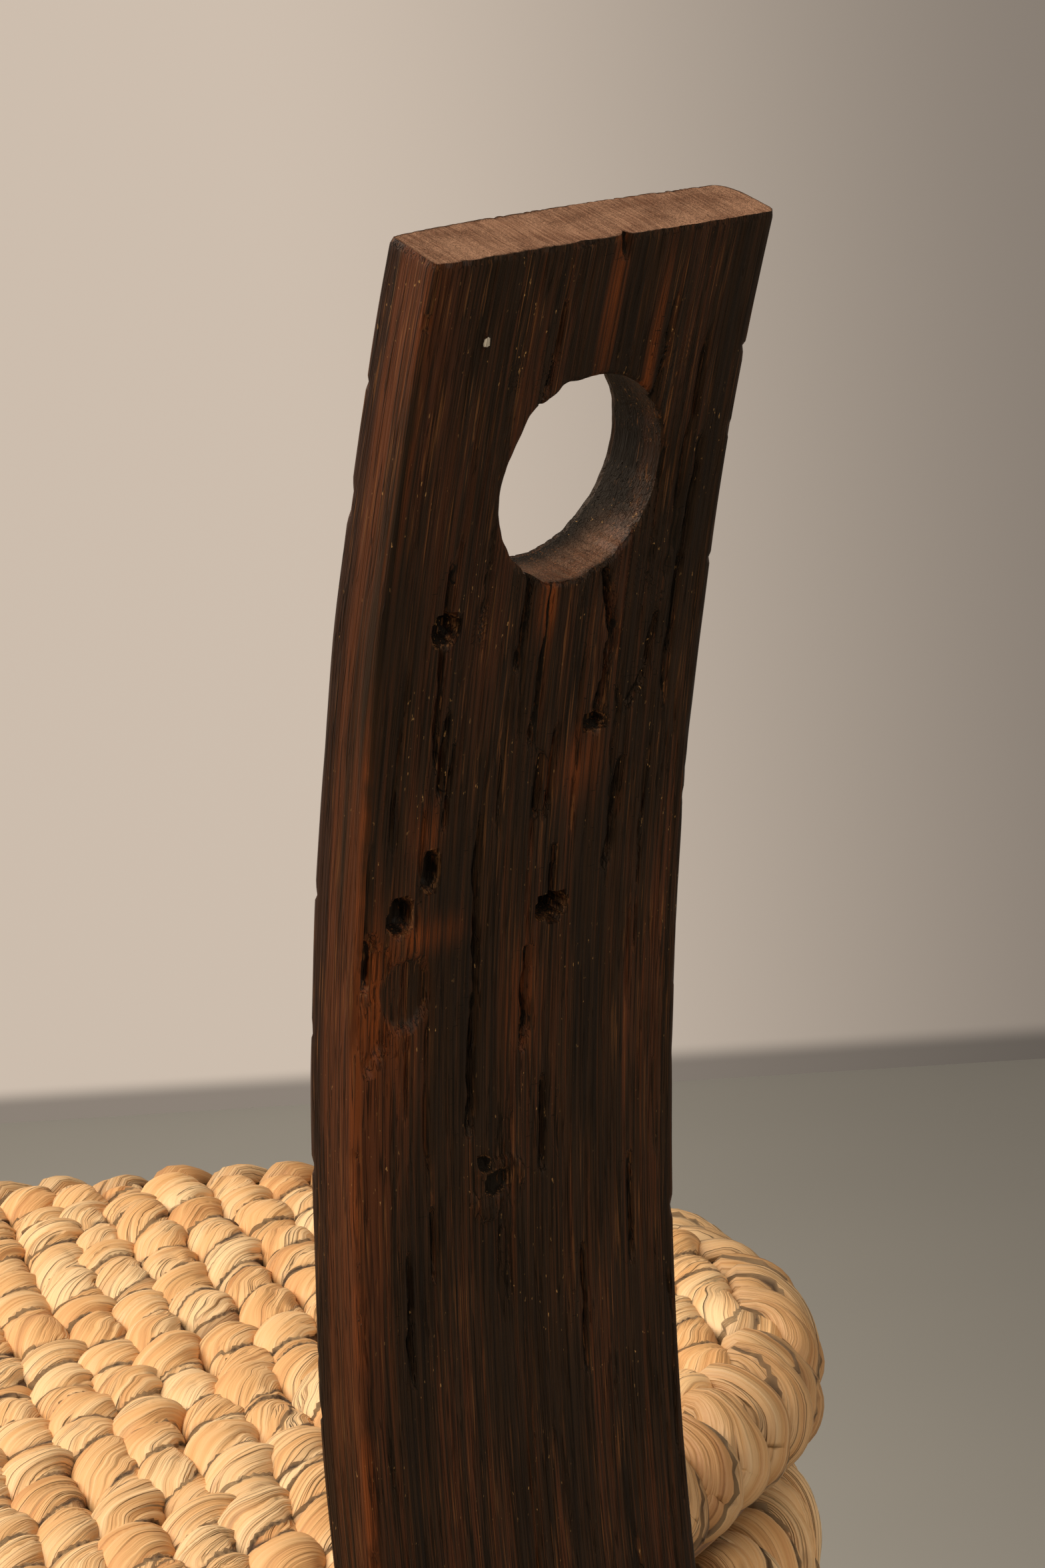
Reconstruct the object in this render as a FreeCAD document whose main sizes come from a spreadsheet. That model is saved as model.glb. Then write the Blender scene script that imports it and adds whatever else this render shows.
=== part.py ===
"""Fireside stool: three bowed staves bolted round two cord-wrapped hoops.

The rear stave rises above the seat as the back and has a round hand hole.
Twisted leaf cords cross the upper hoop as the seat, inside the lip of its wrap and
over a packed stuffing, which the cords under the lower hoop carry.  Millimetres,
Z up, the front faces -Y, and the origin is on the floor in the middle of the
stool's box.
"""
import FreeCAD
import Part
import Sketcher
import os

doc = FreeCAD.newDocument("fireside_stool")
Vector = FreeCAD.Vector

# Driving sizes: alias, value, what it measures
SIZES = [
    ("seat_height", 340.0, "floor to the crest of the upper wrapped hoop"),
    ("seat_diameter", 440.0, "over the wrapped hoops"),
    ("wrap_diameter", 38.0, "thickness of a wrapped hoop"),
    ("hoop_gap", 3.0, "dark gap between the two wrapped hoops"),
    ("hoop_width", 18.0, "bent wood hoop, across its section"),
    ("hoop_depth", 16.0, "bent wood hoop, up its section"),
    ("hoop_round", 4.0, "rounding of the hoop's edges"),
    ("hoop_cover", 2.3, "wrap between a hoop and the cords laid over it"),
    ("rim_lip", 14.0, "wrap outside the ends of the cords"),
    ("stave_width", 78.0, "all three staves"),
    ("stave_thickness", 14.0, "at the middle of the stave"),
    ("stave_crown", 1.4, "how much the seat side of a stave swells"),
    ("stave_radius", 610.0, "bow of the stave, on its outer face"),
    ("sharp_edge", 0.8, "chamfer of the sawn edge of a stave"),
    ("worn_edge", 4.0, "rounding of the worn edge of a stave"),
    ("back_length", 285.0, "along the rear stave from its waist to its top end"),
    ("front_drop", 9.0, "front stave tops below the seat"),
    ("hole_diameter", 37.5, "hand hole"),
    ("hole_from_top", 44.0, "hand hole centre from the top end"),
    ("hole_offset", 3.2, "hand hole off the stave's middle"),
    ("cord_diameter", 13.0, "twisted leaf cord"),
    ("cord_gap", 0.3, "between neighbouring cords"),
    ("cord_angle", 60.0, "cords against the width of the back, degrees"),
    ("cord_inset", 0.5, "cord crests below the rim's crest"),
    ("under_spread", 2.0, "spacing of the lower cords, in cord widths"),
    ("stuffing_margin", 8.0, "stuffing short of the bolts' ends"),
    ("stuffing_round", 12.0, "rounding of the stuffing's edges"),
    ("bolt_diameter", 6.0, "coach bolt"),
    ("bolt_tail", 3.0, "bolt past its nut"),
    ("head_diameter", 16.0, "domed bolt head"),
    ("head_height", 4.0, "domed bolt head"),
    ("head_sink", 1.0, "flat cut for the head in the stave"),
    ("washer_diameter", 14.0, "inner washer"),
    ("washer_thickness", 1.6, "inner washer"),
    ("washer_sink", 1.0, "how far the washer presses into the wrap"),
    ("nut_circle", 11.5, "across the corners of the nut"),
    ("nut_height", 5.0, "hexagon nut"),
    ("bolt_play", 0.2, "hole radius over bolt radius"),
    ("thread_play", 0.05, "nut bore radius over bolt radius"),
    ("touch_gap", 0.2, "between soft and curved faces that meet"),
]

# Places worked out from the sizes: alias, formula
PLACES = [
    ("half_spacing", "=(sizes.wrap_diameter + sizes.hoop_gap) / 2"),
    ("waist_height", "=sizes.seat_height - sizes.wrap_diameter / 2 - half_spacing"),
    ("seat_wrap_height", "=waist_height + half_spacing"),
    ("base_wrap_height", "=waist_height - half_spacing"),
    ("seat_cord_height", "=sizes.seat_height - sizes.cord_inset - sizes.cord_diameter / 2"),
    ("seat_cord_foot", "=seat_cord_height - sizes.cord_diameter / 2 - sizes.touch_gap"),
    ("hoop_rise", "=seat_cord_foot - sizes.hoop_cover - sizes.hoop_depth / 2 - waist_height"),
    ("seat_hoop_height", "=waist_height + hoop_rise"),
    ("base_hoop_height", "=waist_height - hoop_rise"),
    ("hoop_radius", "=(sizes.seat_diameter - sizes.wrap_diameter) / 2"),
    ("inner_radius", "=sizes.seat_diameter / 2 - sizes.wrap_diameter"),
    ("reach", "=sizes.stave_radius + sizes.stave_thickness + sizes.wrap_diameter / 2 + sizes.touch_gap"),
    ("bow_centre", "=hoop_radius + sqrt(reach^2 - half_spacing^2)"),
    ("outer_face", "=bow_centre - sizes.stave_radius"),
    ("crown_radius", "=(sizes.stave_width^2 / 4 + sizes.stave_crown^2) / (2 * sizes.stave_crown)"),
    ("back_angle", "=sizes.back_length / sizes.stave_radius * 180 / pi"),
    ("front_rise", "=sizes.seat_height - sizes.front_drop - waist_height"),
    ("front_angle", "=asin(front_rise / sizes.stave_radius)"),
    ("foot_angle", "=asin((waist_height + sizes.stave_thickness) / sizes.stave_radius)"),
    ("hole_angle", "=(sizes.back_length - sizes.hole_from_top) / sizes.stave_radius * 180 / pi"),
    ("hole_start", "=sizes.stave_radius - sizes.stave_thickness"),
    ("head_seat", "=bow_centre - sqrt(sizes.stave_radius^2 - hoop_rise^2) - sizes.head_sink"),
    ("washer_seat", "=inner_radius + sizes.washer_sink"),
    ("nut_seat", "=washer_seat - sizes.washer_thickness"),
    ("bolt_end", "=nut_seat - sizes.nut_height - sizes.bolt_tail"),
    ("head_sphere", "=(sizes.head_diameter^2 / 4 + sizes.head_height^2) / (2 * sizes.head_height)"),
    ("rebate_radius", "=sizes.seat_diameter / 2 - sizes.rim_lip"),
    ("rebate_depth", "=sizes.seat_height - seat_cord_foot"),
    ("seat_rebate_foot", "=seat_cord_foot"),
    ("base_rebate_foot", "=2 * waist_height - sizes.seat_height"),
    ("cord_reach", "=rebate_radius - sizes.touch_gap"),
    ("under_cord_height", "=2 * waist_height - seat_cord_height"),
    ("stuffing_foot", "=under_cord_height + sizes.cord_diameter / 2 + sizes.touch_gap"),
    ("stuffing_depth", "=seat_cord_foot - stuffing_foot"),
    ("stuffing_edge", "=min(sizes.stuffing_round; 0.45 * stuffing_depth)"),
    ("stave_wall", "=sizes.stave_thickness - sizes.stave_crown"),
    ("hoop_edge", "=min(sizes.hoop_round; 0.45 * min(sizes.hoop_width; sizes.hoop_depth))"),
    ("foot_reach", "=bow_centre - sqrt(sizes.stave_radius^2 - waist_height^2)"),
    ("frame_shift", "=(sizes.seat_diameter / 2 - foot_reach) / 2"),
]

# The rear stave stands at +Y and the front ones, a mirrored pair, a third of a turn to each side
STAVE_ANGLES = {"back_stave": 0.0, "front_left_stave": 120.0, "front_right_stave": -120.0}
SHARP_SIDES = {"back_stave": 1, "front_left_stave": 1, "front_right_stave": -1}
LEVELS = ("seat", "base")


def make_sheet(name, rows):
    """A spreadsheet with one aliased cell per row."""
    sheet = doc.addObject("Spreadsheet::Sheet", name)
    for number, row in enumerate(rows, start=1):
        cell = f"B{number}"
        sheet.set(f"A{number}", row[2] if len(row) > 2 else row[0])
        sheet.set(cell, str(row[1]))
        sheet.setAlias(cell, row[0])
    doc.recompute()
    return sheet


sizes = make_sheet("sizes", SIZES)
places = make_sheet("places", PLACES)


def bind(item, formulas):
    """Tie properties of an object to cells of the sheets."""
    for path, formula in formulas.items():
        item.setExpression(path, formula)
    return item


def primitive(kind, name, formulas):
    """A Part primitive whose sizes and place come from the sheets."""
    return bind(doc.addObject(kind, name), formulas)


def cut(name, base, tools):
    """The base with every tool taken out of it."""
    tool = tools[0]
    if len(tools) > 1:
        tool = doc.addObject("Part::MultiFuse", name + "_tools")
        tool.Shapes = tools
    result = doc.addObject("Part::Cut", name)
    result.Base = base
    result.Tool = tool
    return result


def group(name, members):
    """Like pieces kept together as separate solids of one node."""
    result = doc.addObject("Part::Compound", name)
    result.Links = members
    return result


def radial(item, turn, distance, height):
    """Lay an object's own axis outwards, at a distance from the seat's axis."""
    upright = FreeCAD.Rotation(Vector(1, 0, 0), -90)
    item.Placement.Rotation = FreeCAD.Rotation(Vector(0, 0, 1), turn) * upright
    return bind(item, {
        "Placement.Base.x": f"-({distance}) * sin({turn})",
        "Placement.Base.y": f"({distance}) * cos({turn})",
        "Placement.Base.z": height,
    })


def origin_plane(body, role):
    """One of a body's own origin planes."""
    return next(item for item in body.Origin.OriginFeatures if item.Role == role)


def new_sketch(body, name, role):
    """A sketch on one of its body's origin planes."""
    sketch = body.newObject("Sketcher::SketchObject", name)
    sketch.AttachmentSupport = [(origin_plane(body, role), "")]
    sketch.MapMode = "FlatFace"
    return sketch


def dimension(sketch, kind, places_in_sketch, value, name, formula):
    """A named dimension of a sketch, bound to the sheets."""
    index = sketch.addConstraint(Sketcher.Constraint(kind, *places_in_sketch, value))
    sketch.renameConstraint(index, name)
    sketch.setExpression(f"Constraints.{name}", formula)


def long_edges(shape, side):
    """Names of the bowed edges that lie on one side (+1 or -1) of a stave."""
    found = []
    limit = side * (sizes.stave_width / 2 - sizes.stave_crown / 2)
    for number, edge in enumerate(shape.Edges, start=1):
        middle = edge.valueAt((edge.FirstParameter + edge.LastParameter) / 2)
        is_bowed = isinstance(edge.Curve, Part.Circle) and edge.Length > sizes.stave_width * 2
        if is_bowed and middle.x * side > limit * side:
            found.append(f"Edge{number}")
    return found


def stave_section(body, name):
    """Section at the waist: flat outer face, two sides, crowned face to the seat."""
    half = sizes.stave_width / 2
    outer = places.outer_face
    inner_edge = outer - sizes.stave_thickness + sizes.stave_crown
    crest = outer - sizes.stave_thickness
    axis = places.bow_centre
    sketch = new_sketch(body, name + "_section", "XY_Plane")
    sketch.addGeometry(Part.LineSegment(Vector(-half, outer), Vector(half, outer)))
    sketch.addGeometry(Part.LineSegment(Vector(half, outer), Vector(half, inner_edge)))
    sketch.addGeometry(Part.Arc(Vector(-half, inner_edge), Vector(0, crest), Vector(half, inner_edge)))
    sketch.addGeometry(Part.LineSegment(Vector(-half, inner_edge), Vector(-half, outer)))
    sketch.addGeometry(Part.LineSegment(Vector(-half, axis), Vector(half, axis)), True)
    for joint in ((0, 2, 1, 1), (1, 2, 2, 2), (2, 1, 3, 1), (3, 2, 0, 1)):
        sketch.addConstraint(Sketcher.Constraint("Coincident", *joint))
    for level in (0, 4):
        sketch.addConstraint(Sketcher.Constraint("Symmetric", level, 1, level, 2, -2))
    for upright in (1, 3):
        sketch.addConstraint(Sketcher.Constraint("Vertical", upright))
    sketch.addConstraint(Sketcher.Constraint("Horizontal", 2, 1, 2, 2))
    width = "sizes.stave_width"
    dimension(sketch, "DistanceX", (0, 1, 0, 2), 2 * half, "width", width)
    dimension(sketch, "DistanceX", (4, 1, 4, 2), 2 * half, "axis_width", width)
    dimension(sketch, "DistanceY", (-1, 1, 0, 1), outer, "outer", "places.outer_face")
    dimension(sketch, "DistanceY", (-1, 1, 4, 1), axis, "axis", "places.bow_centre")
    dimension(sketch, "DistanceY", (1, 2, 1, 1), outer - inner_edge, "side", "places.stave_wall")
    dimension(sketch, "Radius", (2,), places.crown_radius, "crown", "places.crown_radius")
    return sketch


def stave_blank(name, turn, top_angle):
    """The section swung about the bow's axis, up to the top end and down past the floor."""
    body = doc.addObject("PartDesign::Body", name + "_blank")
    body.Placement = FreeCAD.Placement(Vector(), FreeCAD.Rotation(Vector(0, 0, 1), turn))
    bind(body, {"Placement.Base.z": "places.waist_height"})
    section = stave_section(body, name)
    bow = body.newObject("PartDesign::Revolution", name + "_bow")
    bow.Profile = section
    bow.ReferenceAxis = (section, ["Axis0"])
    bow.Type = "TwoAngles"
    bow.Reversed = True
    bind(bow, {"Angle": top_angle, "Angle2": "places.foot_angle"})
    doc.recompute()
    sharp_side = SHARP_SIDES[name]
    eased = body.newObject("PartDesign::Chamfer", name + "_eased_edges")
    eased.Base = (bow, long_edges(bow.Shape, sharp_side))
    bind(eased, {"Size": "min(sizes.sharp_edge; 0.4 * places.stave_wall)"})
    doc.recompute()
    worn = body.newObject("PartDesign::Fillet", name + "_worn_edges")
    worn.Base = (eased, long_edges(eased.Shape, -sharp_side))
    bind(worn, {"Radius": "min(sizes.worn_edge; 0.4 * places.stave_wall)"})
    doc.recompute()
    return body


def make_floor_tool():
    """Everything below the floor, which cuts the feet flat."""
    return primitive("Part::Box", "below_floor", {
        "Length": "4 * sizes.seat_diameter",
        "Width": "4 * sizes.seat_diameter",
        "Height": "sizes.seat_height",
        "Placement.Base.x": "-2 * sizes.seat_diameter",
        "Placement.Base.y": "-2 * sizes.seat_diameter",
        "Placement.Base.z": "-sizes.seat_height",
    })


def make_hand_hole():
    """The hand hole, square to the bowed face."""
    hole = primitive("Part::Cylinder", "hand_hole", {
        "Radius": "sizes.hole_diameter / 2",
        "Height": "3 * sizes.stave_thickness",
        "Placement.Base.x": "-sizes.hole_offset",
        "Placement.Base.y": "places.bow_centre - places.hole_start * cos(places.hole_angle)",
        "Placement.Base.z": "places.waist_height + places.hole_start * sin(places.hole_angle)",
    })
    hole.Placement.Rotation = FreeCAD.Rotation(Vector(1, 0, 0), 90)
    return bind(hole, {"Placement.Rotation.Angle": "90 - places.hole_angle"})


def make_bolt_tools(stave, turn, level):
    """Through hole, head flat and washer flat for one bolt, all on its axis."""
    height = f"places.{level}_hoop_height"
    tag = f"{stave}_{level}"
    through = primitive("Part::Cylinder", tag + "_through", {
        "Radius": "sizes.bolt_diameter / 2 + sizes.bolt_play",
        "Height": "places.bow_centre",
    })
    head_flat = primitive("Part::Cylinder", tag + "_head_flat", {
        "Radius": "sizes.head_diameter / 2 + sizes.bolt_play",
        "Height": "sizes.stave_thickness",
    })
    washer_flat = primitive("Part::Cylinder", tag + "_washer_flat", {
        "Radius": "sizes.washer_diameter / 2 + sizes.bolt_play",
        "Height": "sizes.hoop_width",
    })
    radial(through, turn, "0", height)
    radial(head_flat, turn, "places.head_seat", height)
    radial(washer_flat, turn, "places.washer_seat - sizes.hoop_width", height)
    return {"through": through, "head_flat": head_flat, "washer_flat": washer_flat}


def make_staves(bolt_tools):
    """The rear stave with its hand hole, and the two short front staves."""
    below_floor = make_floor_tool()
    staves = []
    for name, turn in STAVE_ANGLES.items():
        is_back = name == "back_stave"
        blank = stave_blank(name, turn, "places.back_angle" if is_back else "places.front_angle")
        tools = [below_floor]
        for level in LEVELS:
            tools += [bolt_tools[name, level]["through"], bolt_tools[name, level]["head_flat"]]
        if is_back:
            tools.append(make_hand_hole())
        staves.append(cut(name, blank, tools))
    return staves


def hoop_blank(name):
    """A bent wood ring of rounded rectangular section."""
    body = doc.addObject("PartDesign::Body", name + "_blank")
    bind(body, {"Placement.Base.z": f"places.{name}_height"})
    sketch = new_sketch(body, name + "_section", "XZ_Plane")
    near = places.hoop_radius - sizes.hoop_width / 2
    far = near + sizes.hoop_width
    low = -sizes.hoop_depth / 2
    corners = [Vector(near, low), Vector(far, low), Vector(far, -low), Vector(near, -low)]
    for index, corner in enumerate(corners):
        sketch.addGeometry(Part.LineSegment(corner, corners[(index + 1) % 4]))
    for index in range(4):
        sketch.addConstraint(Sketcher.Constraint("Coincident", index, 2, (index + 1) % 4, 1))
    for direction, index in (("Horizontal", 0), ("Horizontal", 2), ("Vertical", 3)):
        sketch.addConstraint(Sketcher.Constraint(direction, index))
    sketch.addConstraint(Sketcher.Constraint("Symmetric", 1, 1, 1, 2, -1))
    dimension(sketch, "DistanceX", (0, 1, 0, 2), sizes.hoop_width, "wide", "sizes.hoop_width")
    dimension(sketch, "DistanceY", (1, 1, 1, 2), sizes.hoop_depth, "deep", "sizes.hoop_depth")
    inner = "places.hoop_radius - sizes.hoop_width / 2"
    dimension(sketch, "DistanceX", (-1, 1, 0, 1), near, "inner", inner)
    ring = body.newObject("PartDesign::Revolution", name + "_ring")
    ring.Profile = sketch
    ring.ReferenceAxis = (sketch, ["V_Axis"])
    ring.Angle = 360
    doc.recompute()
    fillet = body.newObject("PartDesign::Fillet", name + "_rounding")
    fillet.Base = (ring, [
        f"Edge{number}" for number, edge in enumerate(ring.Shape.Edges, start=1)
        if isinstance(edge.Curve, Part.Circle) and edge.Length > sizes.seat_diameter
    ])
    bind(fillet, {"Radius": "places.hoop_edge"})
    return body


def wrap_blank(name, level):
    """The leaf wrapped round a hoop, hollow for the hoop and rebated for the cords' ends."""
    ring = primitive("Part::Torus", name + "_ring", {
        "Radius1": "places.hoop_radius",
        "Radius2": "sizes.wrap_diameter / 2",
        "Placement.Base.z": f"places.{level}_wrap_height",
    })
    rebate = primitive("Part::Cylinder", name + "_rebate", {
        "Radius": "places.rebate_radius",
        "Height": "places.rebate_depth",
        "Placement.Base.z": f"places.{level}_rebate_foot",
    })
    height = f"places.{level}_hoop_height - sizes.hoop_depth / 2 - sizes.touch_gap"
    solids = []
    for side, sign in (("outer", "+"), ("inner", "-")):
        solids.append(primitive("Part::Cylinder", f"{name}_{side}", {
            "Radius": f"places.hoop_radius {sign} (sizes.hoop_width / 2 + sizes.touch_gap)",
            "Height": "sizes.hoop_depth + 2 * sizes.touch_gap",
            "Placement.Base.z": height,
        }))
    hollow = cut(name + "_hollow", solids[0], [solids[1]])
    return cut(name + "_skin", ring, [hollow, rebate])


def make_hoops(bolt_tools):
    """Both hoops and their wraps, drilled for the bolts."""
    pieces = []
    for level in LEVELS:
        hoop = level + "_hoop"
        wrap = hoop + "_wrap"
        through = [bolt_tools[stave, level]["through"] for stave in STAVE_ANGLES]
        flats = [bolt_tools[stave, level]["washer_flat"] for stave in STAVE_ANGLES]
        pieces.append(cut(hoop, hoop_blank(hoop), through))
        pieces.append(cut(wrap, wrap_blank(wrap, level), through + flats))
    return pieces


def cord_run(name, bound, offset, height):
    """One straight run of cord across the hoop, ended at the lip of the wrap."""
    across = "sin(sizes.cord_angle)"
    along = "cos(sizes.cord_angle)"
    bar = primitive("Part::Cylinder", name + "_bar", {
        "Radius": "sizes.cord_diameter / 2",
        "Height": "2 * places.cord_reach",
        "Placement.Base.x": f"-({offset}) * {across} - places.cord_reach * {along}",
        "Placement.Base.y": f"({offset}) * {along} - places.cord_reach * {across}",
        "Placement.Base.z": height,
    })
    bar.Placement.Rotation = FreeCAD.Rotation(Vector(0, 1, 0), 90)
    bind(bar, {"Placement.Rotation.Axis.x": f"-{across}", "Placement.Rotation.Axis.y": along})
    run = doc.addObject("Part::Common", name)
    run.Base = bar
    run.Tool = bound
    return run


def cord_offsets(pitch):
    """Offsets of the cords from the seat's middle, as many as the lip leaves room for."""
    room = places.cord_reach - sizes.cord_diameter / 2
    count = 2 * round(room / pitch) + 1
    return [index - (count - 1) / 2 for index in range(count)]


def make_cords():
    """Close cords on the seat, each its own piece, and open cords underneath."""
    bound = primitive("Part::Cylinder", "cord_bound", {
        "Radius": "places.cord_reach",
        "Height": "sizes.seat_height",
    })
    step = sizes.cord_diameter + sizes.cord_gap
    pitch = "(sizes.cord_diameter + sizes.cord_gap)"
    seat_cords = []
    for number, place in enumerate(cord_offsets(step), start=1):
        name = f"seat_cord_{number:02d}"
        seat_cords.append(cord_run(name, bound, f"{place} * {pitch}", "places.seat_cord_height"))
    wide_pitch = f"{pitch} * sizes.under_spread"
    under_cords = [
        cord_run(f"under_cord_{number:02d}", bound, f"{place} * {wide_pitch}", "places.under_cord_height")
        for number, place in enumerate(cord_offsets(step * sizes.under_spread), start=1)
    ]
    return seat_cords + [group("under_cords", under_cords)]


def make_stuffing():
    """The packed leaf between the two layers of cord."""
    disc = primitive("Part::Cylinder", "stuffing_disc", {
        "Radius": "places.bolt_end - sizes.stuffing_margin",
        "Height": "places.stuffing_depth",
        "Placement.Base.z": "places.stuffing_foot",
    })
    doc.recompute()
    stuffing = doc.addObject("Part::Fillet", "leaf_stuffing")
    stuffing.Base = disc
    rounding = places.stuffing_edge
    stuffing.Edges = [
        (number, rounding, rounding) for number, edge in enumerate(disc.Shape.Edges, start=1)
        if isinstance(edge.Curve, Part.Circle)
    ]
    return stuffing


def make_bolt(tag, turn, height):
    """A coach bolt: domed head outside, plain shank to just past the nut."""
    shank = primitive("Part::Cylinder", tag + "_shank", {
        "Radius": "sizes.bolt_diameter / 2",
        "Height": "places.head_seat - places.bolt_end",
    })
    dome = primitive("Part::Sphere", tag + "_dome", {
        "Radius": "places.head_sphere",
        "Angle1": "asin(1 - sizes.head_height / places.head_sphere)",
    })
    radial(shank, turn, "places.bolt_end", height)
    radial(dome, turn, "places.head_seat - places.head_sphere + sizes.head_height", height)
    bolt = doc.addObject("Part::Fuse", tag + "_bolt")
    bolt.Base = shank
    bolt.Tool = dome
    return bolt


def make_washer(tag, turn, height):
    """A round washer on the inner face of the wrap."""
    disc = primitive("Part::Cylinder", tag + "_washer_disc", {
        "Radius": "sizes.washer_diameter / 2",
        "Height": "sizes.washer_thickness",
    })
    bore = primitive("Part::Cylinder", tag + "_washer_bore", {
        "Radius": "sizes.bolt_diameter / 2 + sizes.bolt_play",
        "Height": "sizes.washer_thickness",
    })
    for item in (disc, bore):
        radial(item, turn, "places.nut_seat", height)
    return cut(tag + "_washer", disc, [bore])


def make_nut(tag, turn, height):
    """A hexagon nut against the washer."""
    hexagon = primitive("Part::Prism", tag + "_nut_hexagon", {
        "Circumradius": "sizes.nut_circle / 2",
        "Height": "sizes.nut_height",
    })
    bore = primitive("Part::Cylinder", tag + "_nut_bore", {
        "Radius": "sizes.bolt_diameter / 2 + sizes.thread_play",
        "Height": "sizes.nut_height",
    })
    for item in (hexagon, bore):
        radial(item, turn, "places.nut_seat - sizes.nut_height", height)
    return cut(tag + "_nut", hexagon, [bore])


def make_fixings():
    """Two bolts to each stave, one through the middle of each hoop, with washers and nuts."""
    bolts = []
    washers = []
    nuts = []
    for stave, turn in STAVE_ANGLES.items():
        for level in LEVELS:
            tag = f"{stave}_{level}"
            height = f"places.{level}_hoop_height"
            bolts.append(make_bolt(tag, turn, height))
            washers.append(make_washer(tag, turn, height))
            nuts.append(make_nut(tag, turn, height))
    return [group("stave_bolts", bolts), group("bolt_washers", washers), group("bolt_nuts", nuts)]


def centre_frame(pieces):
    """Move every piece alike, so that the stool's box stands centred on the origin."""
    for piece in pieces:
        bind(piece, {"Placement.Base.y": "places.frame_shift"})


def check_model(pieces):
    """Stop if any object failed or any piece has no sound shape."""
    for item in doc.Objects:
        if {"Invalid", "Error"} & set(item.State):
            raise RuntimeError(f"{item.Name} failed: {item.State}")
    for piece in pieces:
        if piece.Shape.isNull() or not piece.Shape.isValid() or not piece.Shape.Solids:
            raise RuntimeError(f"{piece.Label} has no sound shape")


def export(pieces):
    """Write each piece to a STEP file named for it."""
    os.makedirs("parts", exist_ok=True)
    for piece in pieces:
        piece.Shape.exportStep(os.path.join("parts", piece.Label + ".step"))


bolt_tools = {
    (stave, level): make_bolt_tools(stave, turn, level)
    for stave, turn in STAVE_ANGLES.items() for level in LEVELS
}
pieces = make_staves(bolt_tools)
pieces += make_hoops(bolt_tools)
pieces += make_cords()
pieces.append(make_stuffing())
pieces += make_fixings()
centre_frame(pieces)
doc.recompute()
check_model(pieces)
export(pieces)
for piece in pieces:
    print(f"{piece.Label}: {len(piece.Shape.Solids)} solids, {piece.Shape.Volume / 1000:.1f} cm3")
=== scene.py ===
"""Fireside stool: dark waxed staves round a seat of twisted leaf cord, on a plain stage."""

import math

import bpy
import numpy as np
from mathutils import Matrix, Vector


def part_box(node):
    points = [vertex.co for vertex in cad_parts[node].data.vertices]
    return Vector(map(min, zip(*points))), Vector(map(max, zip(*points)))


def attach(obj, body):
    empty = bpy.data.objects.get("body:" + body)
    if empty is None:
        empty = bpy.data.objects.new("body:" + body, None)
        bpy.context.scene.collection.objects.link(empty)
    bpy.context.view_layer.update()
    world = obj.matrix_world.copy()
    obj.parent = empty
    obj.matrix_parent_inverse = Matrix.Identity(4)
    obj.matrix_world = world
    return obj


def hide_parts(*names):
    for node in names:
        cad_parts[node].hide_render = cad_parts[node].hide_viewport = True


bl_info = {
    "name": "Fireside stool",
    "version": (1, 0, 0),
    "blender": (4, 5, 0),
    "location": "View3D > Sidebar > Stool",
    "description": "Dresses the packed stool with waxed staves and twisted leaf cord",
    "category": "Object",
}

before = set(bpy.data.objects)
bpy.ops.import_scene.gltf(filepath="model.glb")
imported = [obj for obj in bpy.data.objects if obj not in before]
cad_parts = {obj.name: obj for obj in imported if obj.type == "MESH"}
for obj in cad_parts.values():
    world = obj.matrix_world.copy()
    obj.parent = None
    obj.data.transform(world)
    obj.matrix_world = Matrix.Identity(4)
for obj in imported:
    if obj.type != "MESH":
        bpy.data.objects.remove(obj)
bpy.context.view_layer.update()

RIM_LOW, RIM_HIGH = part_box("seat_hoop_wrap")
LOWER_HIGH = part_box("base_hoop_wrap")[1]
BACK_LOW, BACK_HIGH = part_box("back_stave")
SEAT_X = (RIM_LOW.x + RIM_HIGH.x) / 2
SEAT_Y = (RIM_LOW.y + RIM_HIGH.y) / 2
SEAT_RADIUS = (RIM_HIGH.x - RIM_LOW.x) / 2
CORD_REACH = SEAT_RADIUS - 0.014
WAIST = (RIM_LOW.z + LOWER_HIGH.z) / 2
STAVE_WIDTH = BACK_HIGH.x - BACK_LOW.x
STAVE_NODES = ("back_stave", "front_left_stave", "front_right_stave")
CORD_NODES = tuple(sorted(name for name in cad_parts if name.startswith("seat_cord_")))
FASTENER_NODES = ("stave_bolts", "bolt_washers", "bolt_nuts")
HOOP_NODES = ("seat_hoop", "base_hoop")

# Values that a stave's points carry for its material, and the numbers of the first four.
FIELDS = ("split", "runs", "pit", "bare", "speck", "cut")
SPLIT, RUNS, PIT, BARE_WOOD = range(4)

# What those values are far from any split, and far from any pit or speck.
NO_SPLIT = 9.0
FAR_OFF = 3.0

# Side of the square of chance values, and the first seed of each kind of piece.
LATTICE = 97
STAVE_SEED = 1000
CORD_SEED = 3000
UPPER_RIM_SEED = 5000
LOWER_RIM_SEED = 5200
UNDER_SEED = 6000
MOUND_SEED = 6500

# Columns of a stave's mesh, then the length of its close rows and its two row steps in metres.
BACK_GRID = (132, (0.262, 0.0012, 0.0045))
FRONT_GRID = (72, (0.03, 0.002, 0.0026))
STAVE_LAYERS = 16

# Number of cords under the seat, at twice the seat cords' pitch, and half of the seat cords' gap.
UNDER_COUNT = 15
HALF_CLEARANCE = 0.00015

# The camera's right and up directions, and its place, whose y starts at the back stave.
VIEW_RIGHT = Vector((-0.730406, 0.669957, -0.132899))
VIEW_UP = Vector((-0.195971, -0.019164, 0.980427))
VIEW_PLACE = (0.52288, 0.61768, 0.59897)

# Half the floor's side, half the backdrop's length and its height, and what the lamps face.
FLOOR_HALF = 14
WALL_HALF = 9
WALL_HEIGHT = 6.0
LAMP_TARGET = (0.0, 0.05, 0.36)

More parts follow.
